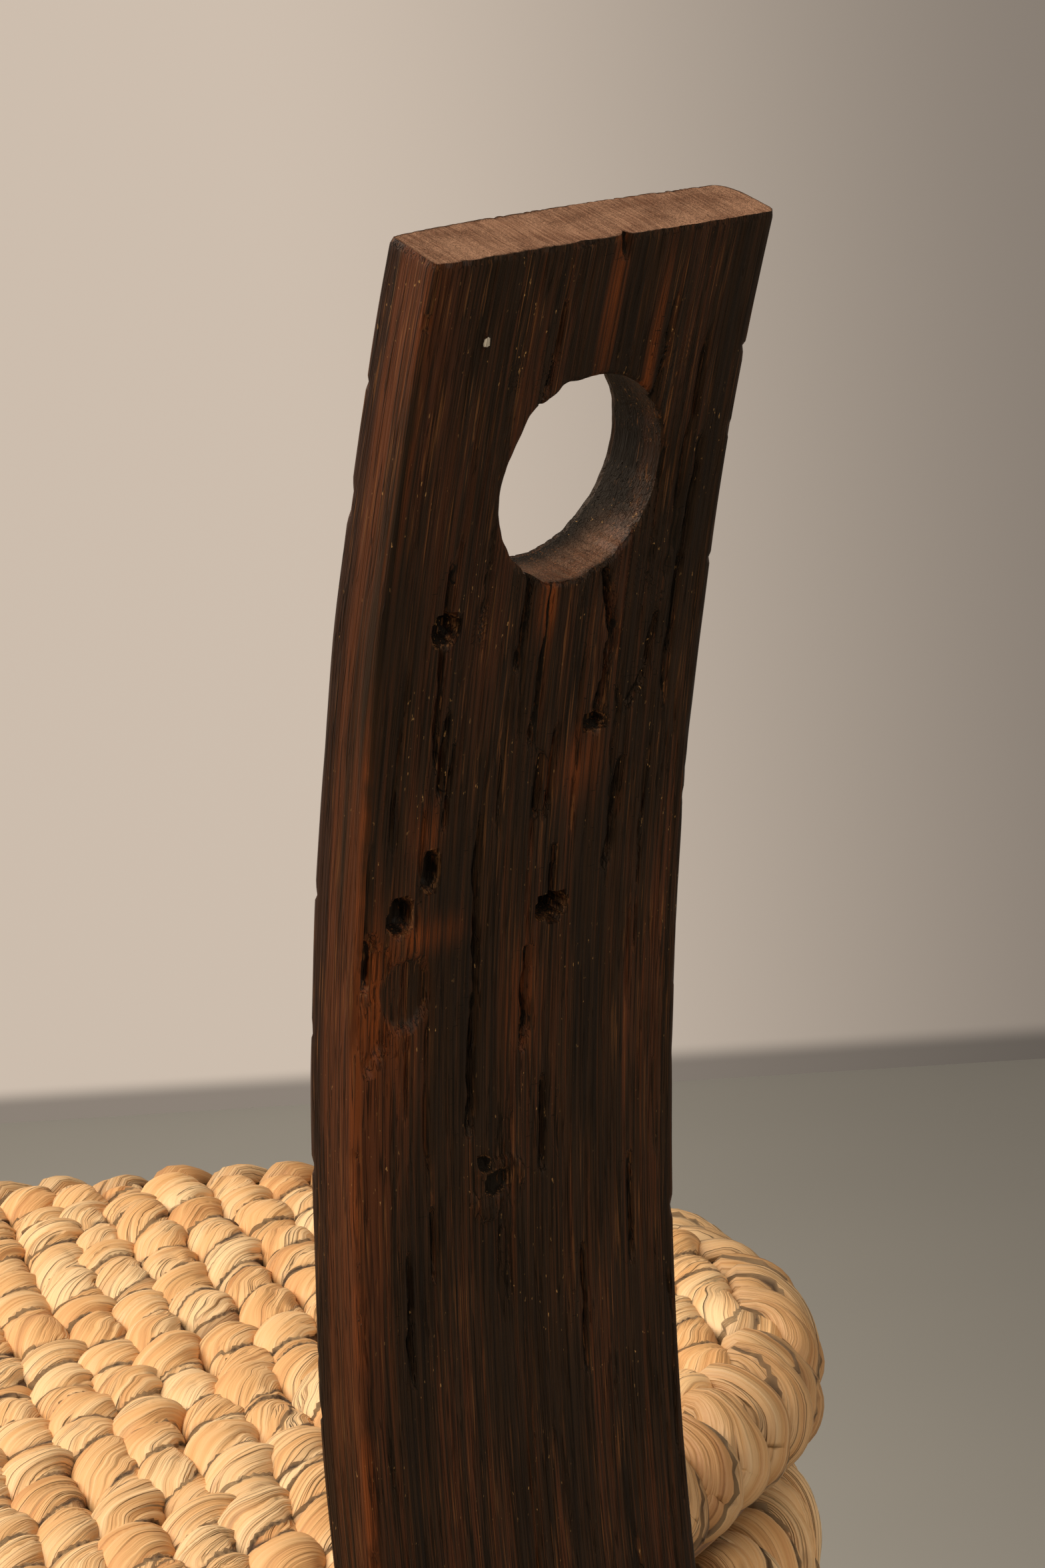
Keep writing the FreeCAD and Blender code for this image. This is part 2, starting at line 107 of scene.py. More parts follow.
# Marks on the back stave's rear face, in millimetres: across to the right as seen from behind,
# then down from the top end. A split runs between two such points and has a width and a depth.
SPLITS = (
    (-24.5, 54, -24.5, 92, 0.6, 1.8),
    (12, 62, 16, 76, 1.0, 2.4),
    (16, 74, 14, 91, 1.2, 2.6),
    (26, 73, 24, 83, 0.8, 1.8),
    (24, 83, 21, 90, 0.9, 1.8),
    (-12.5, 103, -11.5, 138, 0.7, 1.8),
    (-11.5, 136, -12.5, 163, 0.9, 2.2),
    (0.5, 130, 0.5, 150, 1.0, 2.4),
    (5, 156, 5, 174, 0.8, 1.8),
    (-27, 181, -27, 206, 0.6, 1.6),
    (-21, 174, -21, 188, 0.7, 1.6),
    (21, 99, 19, 120, 1.0, 2.0),
    (4, 90, 3, 107, 0.6, 1.6),
    (1, 94, 0.5, 106, 0.8, 1.8),
    (6, 112, 6, 124, 0.7, 1.8),
    (-5, 58, -7, 78, 0.8, 1.8),
    (-1, 72, -2, 92, 0.6, 1.6),
    (-22, 82, -22.5, 98, 0.6, 1.6),
    (-20, 88, -20.5, 104, 0.5, 1.5),
    (18, 12, 17, 48, 0.6, 1.3),
    (-8, 10, -9.5, 30, 0.5, 1.3),
    (28, 20, 27, 66, 0.6, 1.3),
    (31, 40, 30, 92, 0.7, 1.5),
    (3, -2, 4, 4, 0.8, 1.4),
    (15, 190, 15, 216, 0.6, 1.4),
    (27, 176, 27, 198, 0.6, 1.4),
)

# A pit has a middle, half its width, half its height and a depth.
PITS = (
    (-24.5, 67, 3.0, 2.8, 3.6),
    (-23, 111, 1.9, 3.8, 2.6),
    (-29.5, 118, 3.0, 3.4, 3.2),
    (6, 124, 3.7, 2.4, 7.0),
    (13.5, 91, 3.0, 1.5, 2.6),
    (-6, 173, 3.2, 2.4, 1.4),
    (-9, 169, 1.4, 1.6, 1.4),
    (-36.5, 126, 1.6, 5.0, 1.4),
)

# Bare patches show red wood under the wax, with a middle, half sizes and a strength.
BARE = (
    (-33.5, 134, 7, 13, 1.0),
    (3, 11, 1.7, 15, 0.9),
    (14.5, 26, 1.4, 22, 0.7),
    (-1, 66, 2.2, 6, 0.9),
    (-24, 104, 3, 5, 0.7),
    (-25, 123, 8, 3, 0.8),
    (10, 98, 5, 6, 0.5),
    (0, 140, 5, 10, 0.4),
)


def srgb(red, green, blue):
    """A colour's linear value from its three screen levels of 0 to 255."""
    levels = np.array([red, green, blue]) / 255.0
    linear = np.where(levels <= 0.04045, levels / 12.92, ((levels + 0.055) / 1.055) ** 2.4)
    return tuple(float(level) for level in linear)


def amount(name, description, default, **more):
    """A number that a user may change."""
    return bpy.props.FloatProperty(name=name, description=description, default=default, **more)


def length(name, description, default):
    """A length in metres that a user may change."""
    return amount(name, description, default, unit="LENGTH", subtype="DISTANCE", precision=4)


def angle(name, description, degrees):
    """An angle that a user may change."""
    return amount(name, description, math.radians(degrees), unit="ROTATION", subtype="ANGLE")


def colour(name, description, default):
    """A colour that a user may change."""
    return bpy.props.FloatVectorProperty(
        name=name, description=description, default=default, size=3, subtype="COLOR", min=0.0, max=1.0
    )


class StaveLook(bpy.types.PropertyGroup):
    """Sizes and colours of the three staves."""

    bow_radius: length("Bow radius", "Radius of the stave's rear face", 0.61)
    thickness: length("Thickness", "Thickness at the middle of the stave", 0.014)
    crown: length("Crown", "How far the seat side falls off at the edges", 0.0014)
    sawn_edge: length("Sawn edge", "Bevel of the flat sawn side", 0.0008)
    worn_edge: length("Worn edge", "Rounding of the worn side", 0.004)
    hole_diameter: length("Hand hole", "Diameter of the hand hole", 0.0375)
    hole_drop: length("Hole drop", "From the top end to the hole's middle", 0.044)
    hole_offset: length("Hole offset", "How far the hole is off the middle line", 0.0032)
    grain_depth: length("Grain depth", "Depth of the weathered grain", 0.0004)
    # Dark wax in the grain; also the colour of the painted shadow band on the sawn side and of the
    # painted shade near the top end.
    dark_wax_and_painted_shade: colour("Dark wax", "Wax in the hollows of the grain", srgb(20, 12, 7))
    wax_brown: colour("Brown wax", "The stave's main colour", srgb(44, 27, 14))
    wood_red: colour("Red streak", "Streaks where the wax is thin", srgb(84, 42, 19))
    # Bare wood in chips and rubbed patches; also the colour of the painted highlight along the arris.
    bare_wood_and_painted_highlight: colour("Bare wood", "Chips and rubbed patches", srgb(132, 64, 24))
    end_dust: colour("Cut end", "The dusty sawn top end", srgb(160, 117, 88))


class CordLook(bpy.types.PropertyGroup):
    """Sizes and colours of the leaf cords."""

    petal_length: length("Petal length", "Room along a cord for one leaf petal", 0.0255)
    petal_slant: angle("Petal slant", "Slant of a petal across its cord", 43)
    run_angle: angle("Run", "Bearing of the seat cords", 60)
    rim_thickness: length("Rim thickness", "Thickness of a wrapped hoop", 0.038)
    rim_pitch: length("Rim pitch", "Room for one turn of leaf round the rim", 0.0165)
    base_inset: length("Base inset", "How much flatter the lower rim is outside", 0.0055)
    leaf_pale: colour("Pale leaf", "Lit, smooth leaf", srgb(240, 198, 144))
    leaf_gold: colour("Golden leaf", "The cords' main colour", srgb(222, 166, 105))
    leaf_brown: colour("Brown leaf", "Older, browner leaf", srgb(188, 124, 66))
    # The colour of the painted shade in the leaf's folds, creases and gaps.
    leaf_crease: colour("Crease", "Folds and the gaps between plies", srgb(62, 34, 14))


class StageLook(bpy.types.PropertyGroup):
    """The camera, the floor and the lamps."""

    lens: amount("Lens", "Focal length", 105.5, unit="CAMERA")
    wall_distance: length("Backdrop", "From the seat to the backdrop", 1.85)
    wall_turn: angle("Backdrop turn", "Turn of the backdrop", 18)
    floor: colour("Floor", "Pale plain floor", srgb(172, 164, 151))
    wall: colour("Wall", "Pale plain backdrop", srgb(200, 184, 168))
    key_power: amount("Key", "Main lamp's power", 60.0, unit="POWER")
    fill_power: amount("Fill", "Fill lamp's power", 9.5, unit="POWER")
    sky: amount("Sky", "Strength of the even light", 0.50, unit="NONE")


def node_sum(operation, flipped=False):
    """A method for a wire's sums: it adds one Math node, with the wire first or, flipped, second."""

    def add_node(wire, other=0.0):
        first, second = (other, wire) if flipped else (wire, other)
        return wire.finish.node("Math", {0: first, 1: second}, operation=operation)

    return add_node


class Wire:
    """A shader socket that can be used in Python sums; each sum adds a Math node."""

    def __init__(self, finish, socket):
        self.finish = finish
        self.socket = socket

    __add__ = node_sum("ADD")
    __radd__ = node_sum("ADD", flipped=True)
    __sub__ = node_sum("SUBTRACT")
    __rsub__ = node_sum("SUBTRACT", flipped=True)
    __mul__ = node_sum("MULTIPLY")
    __rmul__ = node_sum("MULTIPLY", flipped=True)
    least = node_sum("MINIMUM")
    most = node_sum("MAXIMUM")
    size = node_sum("ABSOLUTE")

    def step(self, low, high):
        """0 below low, 1 above high, and smooth between."""
        inputs = {"Value": self, "From Min": low, "From Max": high}
        return self.finish.node("MapRange", inputs, interpolation_type="SMOOTHSTEP")

    def band(self, low, full, fading, high):
        """Rises from 0 to 1 between low and full, and falls again between fading and high."""
        return (1 - self.step(fading, high)).least(self.step(low, full))


class Finish:
    """A material on one Principled shader, with a method that adds any node."""

    def __init__(self, name):
        self.material = bpy.data.materials.new(name)
        self.material.use_nodes = True
        self.tree = self.material.node_tree
        self.shader = self.tree.nodes["Principled BSDF"]

    def node(self, kind, inputs=None, output=0, **settings):
        """Adds a node of a type: its settings come first, then its sockets' values or links."""
        made = self.tree.nodes.new("ShaderNode" + kind)
        stops = settings.pop("stops", ())
        for name, value in settings.items():
            setattr(made, name, value)
        for index, (place, shade) in enumerate(stops):
            if index >= len(made.color_ramp.elements):
                made.color_ramp.elements.new(place)
            made.color_ramp.elements[index].position = place
            made.color_ramp.elements[index].color = (*shade, 1.0)
        for key, value in (inputs or {}).items():
            self.join(made.inputs[key], value)
        return Wire(self, made.outputs[output])

    def join(self, socket, value):
        """Links a wire to a socket, or sets the socket's own value."""
        if isinstance(value, Wire):
            self.tree.links.new(value.socket, socket)
        elif socket.type == "RGBA":
            socket.default_value = (*value, 1.0)
        else:
            socket.default_value = value

    def set(self, **values):
        """Sets or links the shader's sockets; a name's underscores stand for spaces."""
        for name, value in values.items():
            self.join(self.shader.inputs[name.replace("_", " ")], value)

    def mix(self, factor, first, second):
        """One colour blended into another."""
        inputs = {0: factor, 6: first, 7: second}
        return self.node("Mix", inputs, output=2, data_type="RGBA", clamp_factor=True)

    def coats(self, surface, *coats):
        """Mixes coats, each a share and a colour, over a surface one after the other."""
        for share, shade in coats:
            surface = self.mix(share, surface, shade)
        return surface

    def attribute(self, name, output="Fac"):
        """A value or vector that the mesh carries."""
        return self.node("Attribute", output=output, attribute_name=name)

    def noise(self, vector, scale, detail, roughness, distortion=0.0):
        """Noise on a vector whose three axes are first scaled apart."""
        stretched = self.node("Mapping", {"Vector": vector, "Scale": scale})
        inputs = {"Vector": stretched, "Scale": 1.0, "Detail": detail}
        inputs.update({"Roughness": roughness, "Distortion": distortion})
        return self.node("TexNoise", inputs)

    def bump(self, height, strength, distance):
        """Tilts the shader's normal by a height."""
        inputs = {"Height": height, "Strength": strength, "Distance": distance}
        self.set(Normal=self.node("Bump", inputs))


def lattice_noise(across, along, seed):
    """Smooth noise from -1 to 1: seeded values on a square lattice, eased between its corners."""
    values = np.random.default_rng(seed).uniform(-1.0, 1.0, (LATTICE, LATTICE))
    column = np.floor(across)
    row = np.floor(along)
    fx = across - column
    fy = along - row
    fx = fx * fx * (3 - 2 * fx)
    fy = fy * fy * (3 - 2 * fy)
    i = column.astype(int) % LATTICE
    j = row.astype(int) % LATTICE
    i_next = (i + 1) % LATTICE
    j_next = (j + 1) % LATTICE
    near = values[i, j] * (1 - fx) + values[i_next, j] * fx
    far = values[i, j_next] * (1 - fx) + values[i_next, j_next] * fx
    return near * (1 - fy) + far * fy


def ease(value, low, high):
    """0 below low, 1 above high, and smooth between."""
    part = np.clip((value - low) / (high - low), 0.0, 1.0)
    return part * part * (3 - 2 * part)


def together(*parts):
    """Arrays that stretch to one shape, side by side on a new last axis."""
    return np.stack(np.broadcast_arrays(*parts), axis=-1)


def grid_faces(index, closed=False):
    """Quads between neighbours in a table of point numbers, whose rows may close on themselves."""
    if closed:
        index = np.concatenate([index, index[:, :1]], axis=1)
    corners = (index[:-1, :-1], index[:-1, 1:], index[1:, 1:], index[1:, :-1])
    return np.stack(corners, axis=-1).reshape(-1, 4)


def fan_faces(pole, ring):
    """Triangles from one point to each pair of neighbours on a closed ring."""
    return together(pole, np.roll(ring, -1), ring)


def tube_faces(rings, around):
    """A tube's quads, and triangles that close its ends on the two points stored after its skin."""
    index = np.arange(rings * around).reshape(rings, around)
    first = fan_faces(rings * around, index[0])
    last = fan_faces(rings * around + 1, index[-1][::-1])
    return grid_faces(index, closed=True), np.concatenate([first, last])


def make_piece(name, points, quads, triangles, attributes, sharp_angle=None):
    """Puts arrays of points and faces into a mesh object, with vectors and values as attributes."""
    mesh = bpy.data.meshes.new(name)
    mesh.vertices.add(len(points))
    mesh.vertices.foreach_set("co", np.asarray(points, np.float32).ravel())
    corners = np.concatenate([quads.ravel(), triangles.ravel()]).astype(np.int32)
    sizes = np.concatenate([np.full(len(quads), 4), np.full(len(triangles), 3)])
    starts = np.concatenate([[0], np.cumsum(sizes)[:-1]]).astype(np.int32)
    mesh.loops.add(len(corners))
    mesh.loops.foreach_set("vertex_index", corners)
    mesh.polygons.add(len(sizes))
    mesh.polygons.foreach_set("loop_start", starts)
    mesh.update(calc_edges=True)
    for key, values in attributes.items():
        vector = values.ndim == 2
        layer = mesh.attributes.new(key, "FLOAT_VECTOR" if vector else "FLOAT", "POINT")
        layer.data.foreach_set("vector" if vector else "value", np.asarray(values, np.float32).ravel())
    mesh.shade_smooth()
    if sharp_angle is not None:
        mesh.set_sharp_from_angle(angle=sharp_angle)
    piece = bpy.data.objects.new(name, mesh)
    bpy.context.scene.collection.objects.link(piece)
    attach(piece, "root")
    return piece


def dress(piece, finish, slot, *nodes):
    """Gives a piece its material and hides the CAD nodes it stands for; the slot is not used."""
    piece.data.materials.clear()
    piece.data.materials.append(finish.material)
    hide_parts(*nodes)


def even_line(corners, count):
    """Points at even steps along a line through given corners."""
    corners = np.asarray(corners)
    steps = np.linalg.norm(np.diff(corners, axis=0), axis=1)
    reach = np.concatenate([[0.0], np.cumsum(steps)])
    wanted = np.linspace(0.0, reach[-1], count)
    return np.stack([np.interp(wanted, reach, corners[:, axis]) for axis in (0, 1)], axis=1)


def stave_section(look, width, columns, layers):
    """The stave's outline as points (across, depth), round from the rear face's sawn edge.

    The rear face is straight, the seat side falls off with the square of the distance from the
    middle, one side is sawn flat with small bevels, and the other is rounded by two arcs.
    """
    half = width / 2
    sawn = look.sawn_edge
    worn = look.worn_edge
    across = np.linspace(-half + sawn, half - worn, columns)
    front_depth = look.thickness - look.crown * (across / half) ** 2
    rear = together(np.linspace(-half + sawn, half - 0.5 * worn, columns), 0.0)
    front = together(across, front_depth)[::-1]
    turn = np.linspace(0.0, math.pi / 2, 12)
    near_wide = 0.5 * worn
    near_arc = together(half - near_wide * (1 - np.sin(turn)), near_wide * (1 - np.cos(turn)))
    far_tall = 1.4 * worn
    far_base = front_depth[-1] - far_tall
    far_arc = together(half - worn + worn * np.cos(turn), far_base + far_tall * np.sin(turn))
    worn_side = even_line(np.concatenate([near_arc, far_arc]), layers + 1)[1:-1]
    sawn_line = (
        (-half + sawn, front_depth[0]),
        (-half, front_depth[0] - sawn),
        (-half, sawn),
        (-half + sawn, 0.0),
    )
    sawn_side = even_line(sawn_line, layers + 1)[1:-1]
    outline = np.concatenate([rear, worn_side, front, sawn_side])
    tangent = np.roll(outline, -1, axis=0) - np.roll(outline, 1, axis=0)
    tangent /= np.linalg.norm(tangent, axis=1)[:, None]
    return outline, together(tangent[:, 1], -tangent[:, 0])


def split_marks(across, down, splits, seed):
    """Cracks as three fields: depth, signed place across in half widths, and where a crack runs.

    Each is a wavering line with a narrow bell section that thins to its ends.
    """
    depth = np.zeros_like(across)
    place = np.full_like(across, NO_SPLIT)
    runs = np.zeros_like(across)
    for number, (x0, y0, x1, y1, width, deep) in enumerate(splits):
        aside = np.abs(across - (x0 + x1) / 2)
        near = (down > y0 - 1) & (down < y1 + 1) & (aside < abs(x1 - x0) + 4)
        if not near.any():
            continue
        part = (down[near] - y0) / max(y1 - y0, 1e-6)
        waver = 0.7 * lattice_noise(down[near] / 6.0, number + 0.5, seed)
        offset = across[near] - x0 - (x1 - x0) * part - waver
        taper = np.sqrt(np.clip(1 - (2 * part - 1) ** 4, 0.0, 1.0))
        ragged = 1 + 0.5 * lattice_noise(down[near] / 2.5, number + 9.5, seed + 1)
        bell = np.exp(-((offset / (0.8 * width * ragged)) ** 2))
        depth[near] = np.maximum(depth[near], deep * taper * bell)
        scaled = offset / (0.6 * width * ragged * np.maximum(taper, 0.25))
        place[near] = np.where(np.abs(scaled) < np.abs(place[near]), scaled, place[near])
        runs[near] = np.maximum(runs[near], ease(taper, 0.1, 0.5) * min(deep / 1.2, 1.0))
    return depth, np.clip(place, -NO_SPLIT, NO_SPLIT), runs


def reach_of(across, down, pit, seed, power=2.3):
    """How far out a point is of a rounded box with a ragged edge: 0 in its middle, 1 at its edge."""
    x, y, wide, tall = pit
    ragged = 0.24 * lattice_noise(across / (0.42 * wide), down / (0.42 * tall), seed)
    reach = np.abs((across - x) / wide) ** power + np.abs((down - y) / tall) ** power + ragged
    return np.clip(reach, 0.0, FAR_OFF)


def bowl(reach):
    """A hollow from how far out its points are: 1 at its middle, and 0 outside it."""
    return 1 - ease(reach, 0.6, 1.1)


def glow(across, down, patch):
    """A soft patch that fades out as a bell both ways."""
    x, y, wide, tall, strength = patch
    return strength * np.exp(-(((across - x) / wide) ** 2) - ((down - y) / tall) ** 2)


def chance_splits(half, length_mm, count, seed):
    """Small seeded drying cracks along the grain."""
    rng = np.random.default_rng(seed)
    x = rng.uniform(-half, half, count)
    y = rng.uniform(4, length_mm, count)
    run = rng.uniform(8, 42, count)
    lean = rng.uniform(-0.8, 0.8, count)
    width = rng.uniform(0.3, 0.6, count)
    deep = rng.uniform(0.3, 0.8, count)
    return together(x, y, x + lean, y + run, width, deep)


def face_relief(across, down, seed, length_mm, grain_mm, marked):
    """Weathered face: how far each point lies under the flat face, and fields for its colour.

    The depth adds slow waves, grain furrows that are the thin zero lines of stretched noise,
    drying cracks and, on the marked face, the listed splits, pits and chips. Millimetres. The
    fields are the nearest crack's place, where cracks run, the pits' reach, bare wood and specks.
    """
    wave = 0.25 * lattice_noise(across / 22, down / 60, seed)
    drift = across + 1.2 * lattice_noise(across / 15, down / 40, seed + 1)
    furrow = 1 - np.abs(lattice_noise(drift / 1.7, down / 60, seed + 2))
    fine = 1 - np.abs(lattice_noise(drift / 1.05, down / 30, seed + 3))
    worn = 0.6 + 0.4 * lattice_noise(across / 12, down / 50, seed + 4)
    depth = wave + grain_mm * worn * (furrow**5 + 0.75 * fine**5)
    splits = chance_splits(half=38, length_mm=length_mm, count=90, seed=seed + 5)
    if marked:
        splits = np.concatenate([splits, SPLITS])
    cracks, place, runs = split_marks(across, down, splits, seed + 6)
    pits = np.full_like(across, FAR_OFF)
    bare = np.zeros_like(across)
    speck = np.full_like(across, FAR_OFF)
    if marked:
        for number, (*pit, deep) in enumerate(PITS):
            reach = reach_of(across, down, pit, seed + 20 + number)
            cracks = np.maximum(cracks, deep * bowl(reach))
            pits = np.minimum(pits, reach)
        for patch in BARE:
            bare = np.maximum(bare, glow(across, down, patch))
        crumble = lattice_noise(across / 2.4, down / 3.2, seed + 8)
        fibre = lattice_noise(across / 0.9, down / 9, seed + 9)
        torn = bowl(reach_of(across, down, (-35.5, 133, 4.5, 13), seed + 40))
        scar = bowl(reach_of(across, down, (-27.5, 133, 5.5, 7), seed + 41))
        depth = depth + np.maximum(torn * (1.0 + 0.5 * crumble + 0.4 * fibre), 1.1 * scar)
        bare = np.maximum(bare, torn * (0.7 + 0.3 * fibre)) * (1 - 0.9 * scar)
        lump = bowl(reach_of(across, down, (-6, 174, 7, 6), seed + 60))
        depth = depth - lump * (0.4 + 0.7 * crumble)
        speck = reach_of(across, down, (-25, 15, 0.9, 1.0), seed + 61, 2)
        depth = depth - 0.6 * (1 - ease(speck, 0.5, 1.2))
    return depth + cracks, together(place, runs, pits, bare, speck, 0.0)


def stave_rows(total, fine_part, fine_step, coarse_step):
    """Places down a stave from 0 to 1: close rows in its upper part, wider ones below."""
    fine_count = max(int(round(fine_part / fine_step)), 1)
    coarse_count = int(round((total - fine_part) / coarse_step))
    fine = np.linspace(0.0, fine_part, fine_count + 1)
    coarse = np.linspace(fine_part, total, coarse_count + 1)[1:]
    return np.concatenate([fine, coarse]) / total


def coons(rear, front, left, right):
    """A sheet between four border lines: blended opposite borders, less the doubled corners."""
    v = np.linspace(0.0, 1.0, len(left))[:, None, None]
    u = np.linspace(0.0, 1.0, len(rear))[None, :, None]
    across = (1 - v) * rear[None] + v * front[None]
    along = (1 - u) * left[:, None] + u * right[:, None]
    near = (1 - u) * rear[0] + u * rear[-1]
    far = (1 - u) * front[0] + u * front[-1]
    return across + along - (1 - v) * near - v * far


def worn_top(part, down):
    """How much a short stave's top end is worn down, most at its outer edge."""
    return (0.0022 + 0.0035 * np.clip(1 - part, 0.0, 1.0)) * np.clip(1 - down / 0.03, 0.0, 1.0)


class StaveMesh:
    """A bowed stave in plank places (across, down, depth), bent onto its bow at the end.

    Its skin is a grid of outline points by rows. The two ends are sheets between the outline's
    four sides. A hand hole swaps a patch of both faces for rings that close in on a circle and
    go through the wood.
    """

    def __init__(self, look, node, columns, layers, rows, seed, hole):
        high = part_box(node)[1]
        self.look = look
        self.hole = hole
        self.seed = seed
        self.columns = columns
        self.layers = layers
        top_radius = look.bow_radius + (look.thickness if hole else 0.0)
        self.top = math.asin(min((high.z - WAIST) / top_radius, 1.0))
        self.outline, self.normal = stave_section(look, STAVE_WIDTH, columns, layers)
        self.total = self.drop(np.zeros(1), np.ones(1))[0]
        self.rows = stave_rows(self.total, *rows)
        self.around = len(self.outline)
        self.places = []
        self.fields = []
        self.quads = []
        self.count = 0

    def drop(self, depth, part):
        """Way down the rear face at a part of the length; the foot's angle follows the depth."""
        foot = -np.arcsin(WAIST / (self.look.bow_radius + depth))
        return part * (self.top - foot) * self.look.bow_radius

    def relief(self, across, down, rear):
        """Depth and fields of one face, worked out in millimetres."""
        seed = self.seed if rear else self.seed + 300
        grain = self.look.grain_depth * 1e3
        return face_relief(across * 1e3, down * 1e3, seed, self.total * 1e3, grain, self.hole and rear)

    def noise(self, across, along, number):
        """Smooth noise from one of the stave's own seeds."""
        return lattice_noise(across, along, self.seed + number)

    def add(self, places, fields):
        """Stores a table of points with their fields, and returns their numbers."""
        numbers = self.count + np.arange(places[..., 0].size).reshape(places.shape[:-1])
        self.places.append(places.reshape(-1, 3))
        self.fields.append(fields.reshape(-1, len(FIELDS)))
        self.count += numbers.size
        return numbers

    def plain(self, places, bare=0.0, cut=0.0):
        """Fields of points with no marks."""
        unmarked = np.zeros(places.shape[:-1])
        return together(unmarked + NO_SPLIT, 0.0, FAR_OFF, bare, FAR_OFF, cut)

    def skin(self):
        """Rows of outline points, pushed in along the outline's normals by the faces' relief."""
        part, across, depth = np.broadcast_arrays(self.rows[:, None], *self.outline.T[:, None])
        down = self.drop(depth, part)
        if not self.hole:
            down = down + worn_top(depth / self.look.thickness, down)
        rear = self.relief(across, down, True)
        front = self.relief(across, down, False)
        rearness = np.clip(-self.normal[None, :, 1], 0.0, 1.0)
        frontness = np.clip(self.normal[None, :, 1], 0.0, 1.0)
        sideness = np.abs(self.normal[None, :, 0])
        saw = 0.10 * self.noise(depth * 1400, down * 60, 11)
        saw = saw + 0.3 * self.noise(depth * 90, down * 28, 12)
        nick = ease(self.noise(down * 1e3 / 5, across * 30 + depth * 90, 13), 0.72, 0.95)
        corner = ease(sideness * (rearness + frontness), 0.1, 0.45)
        push = rear[0] * rearness + front[0] * frontness + saw * sideness + 0.9 * nick * corner
        lip = 0.3 * (1 - ease(down * 1e3, 0.0, 1.6)) ** 2
        chip = ease(self.noise(across * 160, depth * 90, 14), 0.25, 0.8)
        push = push + lip * (1 + 1.6 * chip)
        foot_ease = 1 - ease(self.rows[:, None], 0.985, 1.0)
        push = push * foot_ease * 1e-3
        places = together(across - push * self.normal[:, 0], down, depth - push * self.normal[:, 1])
        fields = np.where((rearness > frontness)[..., None], rear[1], front[1])
        fields[..., RUNS] *= np.maximum(rearness, frontness)
        fields[..., PIT] += FAR_OFF * sideness * (1 - rearness)
        fields[..., BARE_WOOD] *= rearness
        return self.add(places, fields), places

    def ends(self, index, places):
        """Closes the top and the foot with sheets between the outline's sides."""
        columns = self.columns
        layers = self.layers
        front = columns + layers - 1
        rear_line = np.arange(columns)
        front_line = front + columns - 1 - np.arange(columns)
        right_line = np.concatenate([[columns - 1], columns - 1 + np.arange(1, layers), [front]])
        left_line = np.concatenate([[0], self.around - np.arange(1, layers), [front + columns - 1]])
        for row in (0, -1):
            edge = places[row]
            sheet = coons(edge[rear_line], edge[front_line], edge[left_line], edge[right_line])
            inner = sheet[1:-1, 1:-1]
            if row == 0:
                across = inner[..., 0]
                depth = inner[..., 2]
                sawn = 0.10 * self.noise(across * 700, depth * 60, 15)
                sawn = sawn + 0.16 * self.noise(across * 130, depth * 200, 16)
                inner[..., 1] += sawn * 1e-3
            else:
                inner[..., 1] = self.drop(inner[..., 2], np.ones(inner.shape[:2]))
            table = np.zeros((layers + 1, columns), int)
            table[0] = index[row][rear_line]
            table[-1] = index[row][front_line]
            table[:, 0] = index[row][left_line]
            table[:, -1] = index[row][right_line]
            table[1:-1, 1:-1] = self.add(inner, self.plain(inner, cut=1.0))
            if row == 0:
                table = table[:, ::-1]
            self.quads.append(grid_faces(table))

    def ring_loop(self, rows, columns):
        """Point numbers (row, column) once round the border of a patch of the rear face."""
        top = [(rows[0], c) for c in range(columns[0], columns[1])]
        right = [(r, columns[1]) for r in range(rows[0], rows[1])]
        bottom = [(rows[1], c) for c in range(columns[1], columns[0], -1)]
        left = [(r, columns[0]) for r in range(rows[1], rows[0], -1)]
        return np.array(top + right + bottom + left)

    def hole_face(self, border, circle, radius, rear):
        """Rings of one face from a patch's border to the hole's edge, which is worn to a lip."""
        look = self.look
        middle = np.array([look.hole_offset, look.hole_drop])
        step = np.linspace(0.0, 1.0, 15)[1:, None, None]
        closing = 1 - (1 - step) ** 1.4
        sheet = (1 - closing) * border + closing * (middle + circle * radius[:, None])
        depth, fields = self.relief(sheet[..., 0], sheet[..., 1], rear)
        near = np.linalg.norm(sheet - middle, axis=-1) - radius
        lip = 0.55 * np.clip(1 - near / 0.0012, 0.0, 1.0) ** 2
        level = 1e-3 * (depth + lip)
        if not rear:
            level = look.thickness - look.crown * (sheet[..., 0] / (STAVE_WIDTH / 2)) ** 2 - level
        return np.concatenate([sheet, level[..., None]], axis=-1), fields

